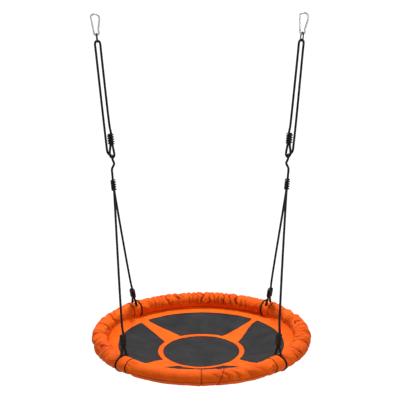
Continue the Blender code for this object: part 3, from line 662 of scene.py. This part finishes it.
def add_cover(run, materials):
    """The gathered cloth of one run with the foam sleeve inside it."""
    middle = math.radians(RUN_SPANS[run][0])
    half = math.radians(RUN_SPANS[run][1]) - COVER_INSET / RING_RADIUS
    angle, around = wrapped_grid(half, COVER_STEP)
    rows, columns = angle.shape
    folds, crease = fold_height(angle, around, run, half)
    seams = seam_height(run, angle, around)
    to_end = half * RING_RADIUS - np.abs(angle * RING_RADIUS)
    by_thick = np.where(angle > 0, THICK_CORD[run][1], THICK_CORD[run][0])
    tuck = np.where(by_thick, 0.0050 * (1 - ramp(to_end, 0.003, 0.018)), 0.0)
    radius = COVER_BODY + folds - 0.0016 * (1 - ramp(to_end, 0.0, 0.004))
    outer = padding_point(angle + middle, around, radius)
    outer = relaxed(outer)
    outward = ring_point(angle + middle, around, radius + 1) - ring_point(angle + middle, around, radius)
    outer = outer + outward * (seams - tuck)[..., None]
    inner = ring_point(angle + middle, around, np.full_like(radius, FOAM_BORE))
    points = np.concatenate([outer.reshape(-1, 3), inner.reshape(-1, 3)])
    count = rows * columns
    faces = [
        grid_faces(rows, columns, closed_columns=True),
        grid_faces(rows, columns, closed_columns=True, start=count)[:, ::-1],
    ]
    ring = np.arange(columns)
    beside = (ring + 1) % columns
    base = (rows - 1) * columns
    faces.append(np.stack([ring, ring + count, beside + count, beside], 1))
    faces.append(np.stack([base + ring, base + beside, base + beside + count, base + ring + count], 1))
    uvs = grid_uvs(rows, columns, COVER_STEP, COVER_STEP)
    uvs = np.concatenate([uvs, uvs, np.zeros((columns * 8, 2))])
    cover = new_piece(f"gathered_cover_{run}", points, np.concatenate(faces), materials["cover_cloth"], uvs)
    outward_faces(cover)
    # Painted shade: the cloth's colour darkens in its fold creases and along its seams, faintly at the rear
    # seam
    seam_shade = 0.35 if run == "rear" else 1.0
    painted_shade = np.maximum(crease, seam_shade * np.clip(-seams / SEAM_DEPTH, 0, 1))
    # Painted shade in the dark tuck beside a thick cord at the cover's end
    painted_shade = np.maximum(painted_shade, by_thick * (1 - ramp(to_end, 0.002, 0.011))).ravel()
    paint_shade_in_folds(cover, np.concatenate([painted_shade, np.zeros(count)]))
    finish_piece(cover, "orange_fabric", f"rim_cover_{run}", f"foam_{run}")


# ---- stations


def add_loop(name, centres, radius, sides, material):
    """A round tube along a closed line. Its radius may be an array, one row of sides for each point."""
    tangents = unit(np.roll(centres, -1, 0) - np.roll(centres, 1, 0))
    one = unit(np.cross(tangents, (0.13, 0.21, 1.0)))
    surface = swept(centres, one, np.cross(tangents, one), radius, sides)
    faces = grid_faces(len(centres), sides, closed_rows=True, closed_columns=True)
    loop = new_piece(name, surface.reshape(-1, 3), faces, material)
    outward_faces(loop)
    return loop


# Radius of an edge cord and how far it lies from the tube's centre: beside the rope, and the far one
EDGE_CORD = ((0.0042, 0.0374), (0.0017, 0.0350))
BAND_STEP = 0.0012
BAND_THICKNESS = 0.0016
SLOT_HALF = (0.0205, 0.0056)  # the rope slot: across the tube, and along the ring


def add_station(station, materials):
    """The plain band with its slot, a bound edge round the slot, and a cord at each side of the band."""
    middle = math.radians(STATIONS[station])
    side = "right" if math.cos(middle) > 0 else "left"
    rear = 1 if math.sin(middle) > 0 else -1
    turn = BAND_TURN if side == "left" else -BAND_TURN
    rope_side = -turn
    middle += math.radians(turn)
    foot, leg, across = (np.array(v) for v in leg_frame(side, rear))
    tangent = np.cross(leg, across)
    half = math.radians(BAND_HALF_ANGLE) - GAP / RING_RADIUS
    angle, around = wrapped_grid(half, BAND_STEP)
    rows, columns = angle.shape
    along = angle * RING_RADIUS
    place = np.stack([along, COVER_RADIUS * np.cos(around), COVER_RADIUS * np.sin(around)], -1)
    wrinkle = smooth_noise(place, 0.018, middle) * 0.0006 + smooth_noise(place, 0.040, middle + 1) * 0.0008
    edge = half * RING_RADIUS - np.abs(along)
    radius = COVER_RADIUS - 0.0012 + wrinkle - 0.0010 * (1 - ramp(edge, 0, 0.003))
    surface = ring_point(angle + middle, around, radius)
    offset = surface - foot
    slot_place = np.stack([offset @ across, offset @ tangent], -1) / SLOT_HALF
    in_slot = (np.abs(slot_place) ** 4).sum(-1) ** 0.25
    above = offset @ leg > 0
    pull = np.where(above, np.exp(-((np.maximum(in_slot - 1, 0) / 0.5) ** 2)), 0) * 0.0012
    radius = radius - pull
    surface = padding_point(angle + middle, around, radius)
    faces = grid_faces(rows, columns, closed_columns=True)
    inside = (in_slot < 1.0) & above
    kept = faces[~inside.reshape(-1)[faces].all(1)]
    used, place_of = np.unique(kept, return_inverse=True)
    name = f"plain_band_{station}"
    band = new_piece(name, surface.reshape(-1, 3)[used], place_of.reshape(-1, 4), materials["cover_cloth"])
    thicken(band, BAND_THICKNESS)
    finish_piece(band, "orange_fabric", f"station_band_{station}")
    turns = full_turn(96)
    ring_shape = np.stack([np.cos(turns), np.sin(turns)], -1)
    ring_shape /= ((np.abs(ring_shape) ** 4).sum(-1) ** 0.25)[:, None]
    lie = ring_shape * SLOT_HALF
    lift = np.sqrt(np.maximum((COVER_RADIUS - 0.0016) ** 2 - lie[:, 0] ** 2, 0))
    binding = foot + lie[:, :1] * across + lie[:, 1:] * tangent + lift[:, None] * leg
    top = padding_point(np.array([middle]), np.array([0.5 * np.pi]), np.array([COVER_RADIUS]))
    binding[:, 2] += top[0, 2] + DROP - COVER_RADIUS
    bound = add_loop(f"slot_binding_{station}", binding, 0.0011, 8, materials["thread"])
    finish_piece(bound, "orange_fabric")
    for label, sign in (("a", -1), ("b", 1)):
        cord_angle = middle + sign * math.radians(BAND_HALF_ANGLE)
        around = full_turn(180)
        cord_radius, lies_at = EDGE_CORD[0] if sign * rope_side > 0 else EDGE_CORD[1]
        radius = np.full_like(around, lies_at)
        centres = padding_point(np.full_like(around, cord_angle), around, radius)
        sides = full_turn(10)[None, :]
        twist = 0.00018 * np.sin(3 * sides + 90 * around[:, None])
        name = f"edging_cord_{station}_{label}"
        cord = add_loop(name, centres, cord_radius + twist, 10, materials["edging"])
        finish_piece(cord, "rope", f"edge_cord_{station}_{label}")


# ---- mat and trim

DISC_EDGE, PANEL_INNER, PANEL_OUTER = 0.166, 0.190, 0.360  # radii where the grey shows between the trim
# The mat's profile from its middle outward, as radii and heights from the ring's middle. Its edge is wider
# and lower than the CAD's, so that it reaches under the covers
MAT_RADII = (0.0, DISC_EDGE, PANEL_INNER, 0.275, PANEL_OUTER, 0.4240)
MAT_HEIGHTS = (-0.084, -0.0825, -0.081, -0.0620, -0.0400, -0.0330)
PROFILE_SAMPLES = 400
PROFILE_ROUNDING = 30  # samples each side that round the profile's corners
MAT_THICKNESS = 0.0025
TRIM_THICKNESS = 0.0008
# A spoke's half width at these radii
SPOKE_SHAPE = ((0.166, 0.043), (0.190, 0.049), (0.275, 0.034), (0.350, 0.0225), (0.360, 0.0290))
SPOKE_CELLS = 14  # cells of the grid across a spoke, and across a panel
PANEL_CELLS = 118
MAT_COLUMNS = 4 * (SPOKE_CELLS + PANEL_CELLS)
MAT_STEP = 0.0034
RING_ROWS = 8  # rows of the trim's grid across its centre ring
PIPING_RADIUS = 0.0010
STITCH_INSET = 0.0045  # from the trim's edge to its stitches
STITCH_LIFT = 0.0003
STITCH = (0.0050, 0.0034, 0.00035)  # spacing, length and radius
# The border's outward rise to the covers, as radius and height: at the front and rear, and at the sides
TRIM_RISE = ((0.360, -0.0400), (0.378, -0.0374), (0.394, -0.0350), (0.410, -0.0328), (0.4250, -0.0300))
TRIM_RISE_SIDES = ((0.360, -0.0400), (0.373, -0.0335), (0.386, -0.0255), (0.397, -0.0165), (0.4070, -0.0080))
TRIM_LIFT = 0.0009

# Soft creases in the mat: from, to and depth
CREASES = (
    (0.165, 0.105, 0.325, 0.130, 0.0059),
    (0.085, 0.178, 0.165, 0.300, 0.0046),
    (-0.060, 0.190, -0.200, 0.280, 0.0032),
    (-0.180, 0.080, -0.320, 0.120, 0.0039),
    (-0.190, -0.040, -0.330, -0.060, 0.0046),
    (0.190, -0.050, 0.330, -0.080, 0.0039),
    (-0.060, -0.190, -0.130, -0.320, 0.0035),
    (0.070, -0.190, 0.150, -0.310, 0.0035),
    (-0.090, 0.060, 0.060, 0.120, 0.0021),
)

# Each spoke, anticlockwise from the rear right: how far its outer end is turned, in degrees, and
# how wide it is there, as a share of SPOKE_SHAPE
SPOKE_ENDS = ((1.6, 0.62), (2.0, 0.92), (0.5, 1.0), (-0.5, 1.0))


def spoke_sides(rho, spoke):
    """The angles of a spoke's two sides at these radii."""
    radii, widths = zip(*SPOKE_SHAPE)
    rho = np.maximum(rho, radii[0])
    turn, width = SPOKE_ENDS[spoke % 4]
    outward = ramp(rho, 0.19, 0.345)
    half = np.arcsin(np.interp(rho, radii, widths) / rho) * (1 - (1 - width) * outward)
    middle = np.pi * (0.25 + 0.5 * spoke) + math.radians(turn) * outward
    return middle - half, middle + half


def dish_height(rho, angle):
    """The mat's height under its own sag, with soft folds that run out from the middle."""
    fine = np.linspace(0, MAT_RADII[-1], PROFILE_SAMPLES)
    line = np.interp(fine, MAT_RADII, MAT_HEIGHTS)
    beyond = line[-1] + (line[-1] - line[-2]) * np.arange(1, PROFILE_ROUNDING + 1)
    kernel = np.hanning(2 * PROFILE_ROUNDING + 1)
    line = np.concatenate([np.full(PROFILE_ROUNDING, line[0]), line, beyond])
    line = np.convolve(line, kernel / kernel.sum(), "valid")
    height = np.interp(rho, fine, line)
    place = np.stack([np.cos(angle) * 3.2, np.sin(angle) * 3.2, rho * 4.0], -1)
    streak = smooth_noise(place, 1.0, 5.0) + 0.5 * smooth_noise(place * (2.3, 2.3, 1.5), 1.0, 9.0)
    in_panel = ramp(rho, 0.19, 0.25) * (1 - ramp(rho, 0.33, 0.36))
    soft = smooth_noise(np.stack([rho * np.cos(angle), rho * np.sin(angle), 0 * rho], -1), 0.11, 2.0)
    fade = 1 - ramp(rho, 0.33, 0.39)
    across_way, up_way = rho * np.cos(angle), rho * np.sin(angle)
    for x0, y0, x1, y1, depth in CREASES:
        way = np.hypot(x1 - x0, y1 - y0)
        share = ((across_way - x0) * (x1 - x0) + (up_way - y0) * (y1 - y0)) / way**2
        off = ((across_way - x0) * (y1 - y0) - (up_way - y0) * (x1 - x0)) / way
        on_line = ramp(share, -0.1, 0.25) * (1 - ramp(share, 0.75, 1.1))
        height = height - depth * on_line * np.exp(-np.abs(off) / 0.011)
    return height - DROP + 0.0028 * streak * in_panel + 0.0013 * soft * fade


def dish_points(rho, angle, lift=0.0):
    rho, angle = np.broadcast_arrays(rho, angle)
    return np.stack([rho * np.cos(angle), rho * np.sin(angle), dish_height(rho, angle) + lift], -1)


def mat_columns(rho):
    """The angles of every column of the mat's grid at these radii: each spoke's, then each panel's."""
    rho = np.atleast_1d(rho)[:, None]
    over_spoke = np.linspace(0, 1, SPOKE_CELLS, endpoint=False)[None, :]
    over_panel = np.linspace(0, 1, PANEL_CELLS, endpoint=False)[None, :]
    columns = []
    for spoke in range(4):
        first, last = spoke_sides(rho, spoke)
        following, _ = spoke_sides(rho, spoke + 1)
        columns += [first + (last - first) * over_spoke, last + (following - last) * over_panel]
    return np.concatenate(columns, 1)


def add_mat(materials):
    rho = np.concatenate([[0.004], np.linspace(0.008, MAT_RADII[-1], round(MAT_RADII[-1] / MAT_STEP))])
    points = dish_points(rho[:, None], mat_columns(rho))
    points = np.concatenate([points.reshape(-1, 3), dish_points(np.zeros(1), np.zeros(1))])
    faces = grid_faces(len(rho), MAT_COLUMNS, closed_columns=True)[:, ::-1].tolist()
    faces += [(len(points) - 1, k, (k + 1) % MAT_COLUMNS) for k in range(MAT_COLUMNS)]
    uvs = [points[v][:2] for face in faces for v in face]
    mat = new_piece("woven_seat_mat", points, faces, materials["mat_cloth"], uvs)
    thicken(mat, MAT_THICKNESS)
    finish_piece(mat, "grey_fabric", "seat_mat")


def add_trim(materials):
    """The orange trim: it lies on the mat out to the panels' outer edge, and then rises to the covers."""
    ring_rho = np.linspace(DISC_EDGE, PANEL_INNER, RING_ROWS + 1)
    inner_rho = np.concatenate([ring_rho, np.linspace(PANEL_INNER, PANEL_OUTER, 52)[1:]])
    way = np.linspace(0, 1, 18)[1:]
    knots = np.linspace(0, 1, len(TRIM_RISE))
    ends, sides = np.array(TRIM_RISE), np.array(TRIM_RISE_SIDES)
    trim_rho = np.concatenate([inner_rho, np.interp(way, knots, ends[:, 0])])
    angle = mat_columns(trim_rho)
    points = dish_points(trim_rho[:, None], angle, TRIM_LIFT)
    first = len(inner_rho)
    outer_angle = angle[first:]
    to_side = ramp(np.abs(np.cos(outer_angle)), 0.62, 0.92)
    low, high = (np.stack([np.interp(way, knots, rise[:, k]) for k in (0, 1)], -1) for rise in (ends, sides))
    place = low[:, None] * (1 - to_side)[..., None] + high[:, None] * to_side[..., None]
    share = np.linspace(0.15, 1, len(way))[:, None]
    points[first:, :, 0] = place[..., 0] * np.cos(outer_angle)
    points[first:, :, 1] = place[..., 0] * np.sin(outer_angle)
    edge_height = points[first - 1, :, 2]
    height = edge_height * (1 - share) + (place[..., 1] - DROP + TRIM_LIFT) * share
    points[first:, :, 2] = np.maximum(height, dish_height(place[..., 0], outer_angle) + TRIM_LIFT)
    faces = grid_faces(len(trim_rho), MAT_COLUMNS, closed_columns=True)[:, ::-1]
    row, column = np.divmod(np.arange(len(faces)), MAT_COLUMNS)
    on_spoke = column % (SPOKE_CELLS + PANEL_CELLS) < SPOKE_CELLS
    kept = faces[on_spoke | (row < RING_ROWS) | (row >= first - 1)]
    used, place_of = np.unique(kept, return_inverse=True)
    points = points.reshape(-1, 3)[used]
    place_of = place_of.reshape(-1, 4)
    uvs = points[place_of.ravel(), :2]
    trim = new_piece("sewn_trim", points, place_of, materials["trim_cloth"], uvs)
    thicken(trim, TRIM_THICKNESS)
    finish_piece(trim, "orange_fabric", "seat_trim")


def panel_outline(spoke, inset=0.0):
    """(radius, angle) pairs round the grey panel that follows a spoke, out from the inner arc and back."""
    rho = np.linspace(PANEL_INNER + inset, PANEL_OUTER - inset, 90)
    first = spoke_sides(rho, spoke)[1] + inset / rho
    last = spoke_sides(rho, spoke + 1)[0] - inset / rho
    outer = np.linspace(first[-1], last[-1], 120)[1:-1]
    inner = np.linspace(last[0], first[0], 60)[1:-1]
    radius = np.concatenate([rho, np.full_like(outer, rho[-1]), rho[::-1], np.full_like(inner, rho[0])])
    return radius, np.concatenate([first, outer, last[::-1], inner])


def even_loop(centres, spacing):
    """Even points round a closed line."""
    closed = np.concatenate([centres, centres[:1]])
    along = np.concatenate([[0], np.cumsum(np.linalg.norm(np.diff(closed, axis=0), axis=1))])
    even = np.linspace(0, along[-1], round(along[-1] / spacing), endpoint=False)
    return np.stack([np.interp(even, along, closed[:, axis]) for axis in range(3)], 1)


def stitch_points(centres, spacing, length, radius):
    """A row of short threads that dip into the cloth at both ends, as points and faces."""
    line = even_loop(centres, spacing)
    ahead = unit(np.roll(line, -1, 0) - line)
    all_points, all_faces = [], []
    profile = ((-0.5, 0.15, -1.2), (-0.32, 1.0, 0.1), (0.32, 1.0, 0.1), (0.5, 0.15, -1.2))
    sides = 6
    turn = full_turn(sides)
    for centre, along in zip(line, ahead):
        across = unit(np.cross(along, (0, 0, 1.0)))
        normal = np.cross(across, along)
        start = len(all_points)
        for share, thick, dip in profile:
            middle = centre + along * share * length + normal * dip * radius
            for t in turn:
                all_points.append(middle + radius * thick * (across * math.cos(t) + normal * math.sin(t)))
        all_faces += grid_faces(len(profile), sides, closed_columns=True, start=start).tolist()
        all_faces.append([start + k for k in range(sides)])
        all_faces.append([start + 3 * sides + k for k in reversed(range(sides))])
    return np.array(all_points), all_faces


def add_panel_edges(materials):
    """A dark edging round each grey panel and the middle disc, and the trim's stitching beside it."""
    for spoke, run in enumerate(("rear", "left", "front", "right")):
        rho, turn = panel_outline(spoke)
        line = even_loop(dish_points(rho, turn, TRIM_LIFT), 0.003)
        piping = add_loop(f"panel_piping_{run}", line, PIPING_RADIUS, 6, materials["edging"])
        finish_piece(piping, "grey_fabric")
    turn = full_turn(400)
    circle = dish_points(np.full_like(turn, DISC_EDGE), turn, TRIM_LIFT)
    piping = add_loop("disc_piping", circle, PIPING_RADIUS, 6, materials["edging"])
    finish_piece(piping, "grey_fabric")
    lift = TRIM_LIFT + STITCH_LIFT
    rows = [dish_points(*panel_outline(spoke, -STITCH_INSET), lift) for spoke in range(4)]
    rows.append(dish_points(np.full_like(turn, DISC_EDGE + STITCH_INSET), turn, lift))
    points, faces = [], []
    for row in rows:
        made, joined = stitch_points(row, *STITCH)
        start = sum(len(p) for p in points)
        points.append(made)
        faces += [[v + start for v in face] for face in joined]
    stitching = new_piece("trim_stitching", np.concatenate(points), faces, materials["thread"])
    outward_faces(stitching)
    finish_piece(stitching, "orange_fabric")


# ---- materials


class Surface:
    """A procedural material: its node tree, its Principled shader and the bumps stacked on it."""

    def __init__(self, name, roughness, metallic=0.0, colour=None, **sockets):
        self.material = bpy.data.materials.new(name)
        self.material.use_nodes = True
        self.tree = self.material.node_tree
        self.shader = self.tree.nodes["Principled BSDF"]
        self.shader.inputs["Roughness"].default_value = roughness
        self.shader.inputs["Metallic"].default_value = metallic
        if colour:
            self.shader.inputs["Base Color"].default_value = (*colour, 1.0)
        for socket, value in sockets.items():
            self.shader.inputs[socket.replace("_", " ")].default_value = value
        self.coordinates = self.tree.nodes.new("ShaderNodeTexCoord")
        self.last_normal = None

    def node(self, kind, inputs=None, **values):
        made = self.tree.nodes.new("ShaderNode" + kind)
        for key, value in values.items():
            setattr(made, key, value)
        for socket, value in (inputs or {}).items():
            if isinstance(value, bpy.types.NodeSocket):
                self.tree.links.new(value, made.inputs[socket])
            else:
                made.inputs[socket].default_value = value
        return made

    def scaled(self, kind, scale):
        inputs = {"Vector": self.coordinates.outputs[kind], "Scale": scale}
        return self.node("Mapping", inputs).outputs["Vector"]

    def noise(self, scale, detail=3.0, kind="Object", stretch=(1, 1, 1)):
        vector = self.scaled(kind, tuple(scale * s for s in stretch))
        return self.node("TexNoise", {"Vector": vector, "Scale": 1.0, "Detail": detail}).outputs["Fac"]

    def mix_colours(self, share, first, second, low=0.35, high=0.65):
        """Sets the base colour to run between two colours as share goes from low to high."""
        ramp_node = self.node("ValToRGB", {"Fac": share})
        ramp_node.color_ramp.elements[0].position, ramp_node.color_ramp.elements[1].position = low, high
        ramp_node.color_ramp.elements[0].color = (*first, 1.0)
        ramp_node.color_ramp.elements[1].color = (*second, 1.0)
        self.tree.links.new(ramp_node.outputs["Color"], self.shader.inputs["Base Color"])

    def roughness(self, share, low, high):
        spread = self.node("MapRange", {"Value": share, "To Min": low, "To Max": high})
        self.tree.links.new(spread.outputs["Result"], self.shader.inputs["Roughness"])

    def bump(self, height, distance, strength=1.0):
        inputs = {"Height": height, "Distance": distance, "Strength": strength}
        if self.last_normal is not None:
            inputs["Normal"] = self.last_normal
        self.last_normal = self.node("Bump", inputs).outputs["Normal"]
        self.tree.links.new(self.last_normal, self.shader.inputs["Normal"])

    def weave(self, pitch, distance):
        """Plain weave: threads both ways that pass over and under each other."""
        vector = self.scaled("UV", (1 / pitch, 1 / pitch, 1 / pitch))
        waves = [
            self.node("TexWave", {"Vector": vector, "Scale": 0.5}, bands_direction=axis).outputs["Fac"]
            for axis in ("X", "Y")
        ]
        height = self.node("Math", {0: waves[0], 1: waves[1]}, operation="MULTIPLY").outputs[0]
        self.bump(height, distance)


def fabric(name, bright, dull, pitch, roughness, fold_shade_colour=None):
    """Woven cloth with a slightly uneven dye, a fine thread, small soft dents, and painted shade that
    darkens its colour in folds.
    """
    cloth = Surface(name, roughness, Specular_IOR_Level=0.1, Sheen_Weight=0.01, Sheen_Roughness=0.5)
    cloth.mix_colours(cloth.noise(14.0, 4.0), dull, bright)
    # Painted shade: the colour darkens towards the given fold colour where the cloth lies deep in a fold
    if fold_shade_colour:
        painted_shade = cloth.node("Attribute", attribute_name="painted_shade").outputs["Fac"]
        surface = cloth.shader.inputs["Base Color"].links[0].from_socket
        mix = cloth.node("Mix", {0: painted_shade, 6: surface, 7: (*fold_shade_colour, 1.0)}, data_type="RGBA")
        cloth.tree.links.new(mix.outputs[2], cloth.shader.inputs["Base Color"])
    cloth.roughness(cloth.noise(60.0, 2.0), roughness - 0.06, roughness + 0.08)
    cloth.bump(cloth.noise(130.0, 3.0), 0.0006, 0.5)
    cloth.weave(pitch, 0.00012)
    return cloth.material


def grained(name, roughness, dark, light, tint, gloss=None, grain=None, metallic=0.0, **sockets):
    """A finish mottled between two colours. tint holds its noise's scale and detail, and where the colours
    mix. gloss holds its noise and the roughness's range, and grain a noise and the bump's depth and
    strength."""
    surface = Surface(name, roughness, metallic, **sockets)
    surface.mix_colours(surface.noise(*tint[:2]), dark, light, *tint[2:])
    if gloss:
        surface.roughness(surface.noise(*gloss[:2]), *gloss[2:])
    if grain:
        surface.bump(surface.noise(*grain[0]), *grain[1:])
    return surface.material


def sewing_thread(name, colour):
    dull = tuple(0.75 * c for c in colour)
    sockets = {"Specular_IOR_Level": 0.15, "Sheen_Weight": 0.04}
    return grained(name, 0.7, dull, colour, (900.0, 2.0), grain=((4000.0, 1.0), 0.00005, 0.5), **sockets)


def make_materials():
    """Braided polyester with fibres along its strands, tight twine, woven cloths, sewing threads, mottled
    zinc plating, a black coating with a faint orange peel, and drawn steel tube."""
    black = (0.003, 0.003, 0.003)
    fibres = ((1.0, 2.0, "UV", (500.0, 3000.0, 1.0)), 0.00012, 0.6)
    return {
        "rope": grained("braided_rope", 0.62, black, (0.009, 0.009, 0.010), (350.0, 4.0, 0.4, 0.8),
                        (700.0, 2.0, 0.5, 0.75), fibres, Specular_IOR_Level=0.25),
        "twine": grained("binding_twine", 0.55, black, (0.012, 0.012, 0.012), (500.0, 3.0, 0.4, 0.8),
                         (900.0, 2.0, 0.4, 0.65), ((2500.0, 2.0), 0.0001, 0.6), Specular_IOR_Level=0.25),
        # The cover cloth's fold colour is painted shade for its creases and seams
        "cover_cloth": fabric("cover_cloth", (0.82, 0.112, 0.002), (0.72, 0.086, 0.001), 0.0009, 0.66,
                              fold_shade_colour=(0.27, 0.016, 0.0)),
        "mat_cloth": fabric("mat_cloth", (0.027, 0.028, 0.029), (0.017, 0.018, 0.020), 0.0013, 0.74),
        "trim_cloth": fabric("trim_cloth", (0.84, 0.116, 0.002), (0.76, 0.092, 0.001), 0.0009, 0.64),
        "edging": sewing_thread("edge_binding", (0.014, 0.006, 0.004)),
        "thread": sewing_thread("orange_thread", (0.80, 0.11, 0.012)),
        "zinc": grained("zinc_plating", 0.3, (0.54, 0.55, 0.56), (0.72, 0.73, 0.74), (220.0, 3.0),
                        (500.0, 3.0, 0.20, 0.42), ((900.0, 2.0), 0.00005, 0.4), metallic=1.0),
        "black_steel": grained("black_coating", 0.4, (0.010, 0.010, 0.011), (0.035, 0.035, 0.036),
                               (300.0, 4.0, 0.45, 0.75), (400.0, 2.0, 0.28, 0.5),
                               ((1200.0, 2.0), 0.00008, 0.5)),
        "tube_steel": grained("tube_steel", 0.35, (0.34, 0.35, 0.36), (0.50, 0.51, 0.52), (90.0, 3.0),
                              (600.0, 2.0, 0.28, 0.45), metallic=1.0),
    }


def repaint(node, material):
    """A CAD node that stays gets the finished material."""
    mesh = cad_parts[node].data
    mesh.materials.clear()
    mesh.materials.append(material)


def paint_frame(materials):
    for side in SIDES:
        for part in ("hook_body", "hook_gate", "hook_rivet", "hook_latch_pin", "hook_gate_spring"):
            repaint(f"{side}_{part}", materials["zinc"])
        repaint(f"{side}_hanger_ring", materials["black_steel"])
    for station in STATIONS:
        repaint(f"ring_tube_{station}", materials["tube_steel"])
    for run in RUN_SPANS:
        repaint(f"joint_sleeve_{run}", materials["tube_steel"])
        repaint(f"joint_screw_{run}", materials["zinc"])


def main():
    add_camera()
    add_studio()
    materials = make_materials()
    for side in SIDES:
        add_ropes(side, materials)
    for run in RUN_SPANS:
        add_cover(run, materials)
    for station in STATIONS:
        add_station(station, materials)
    add_mat(materials)
    add_trim(materials)
    add_panel_edges(materials)
    paint_frame(materials)

main()
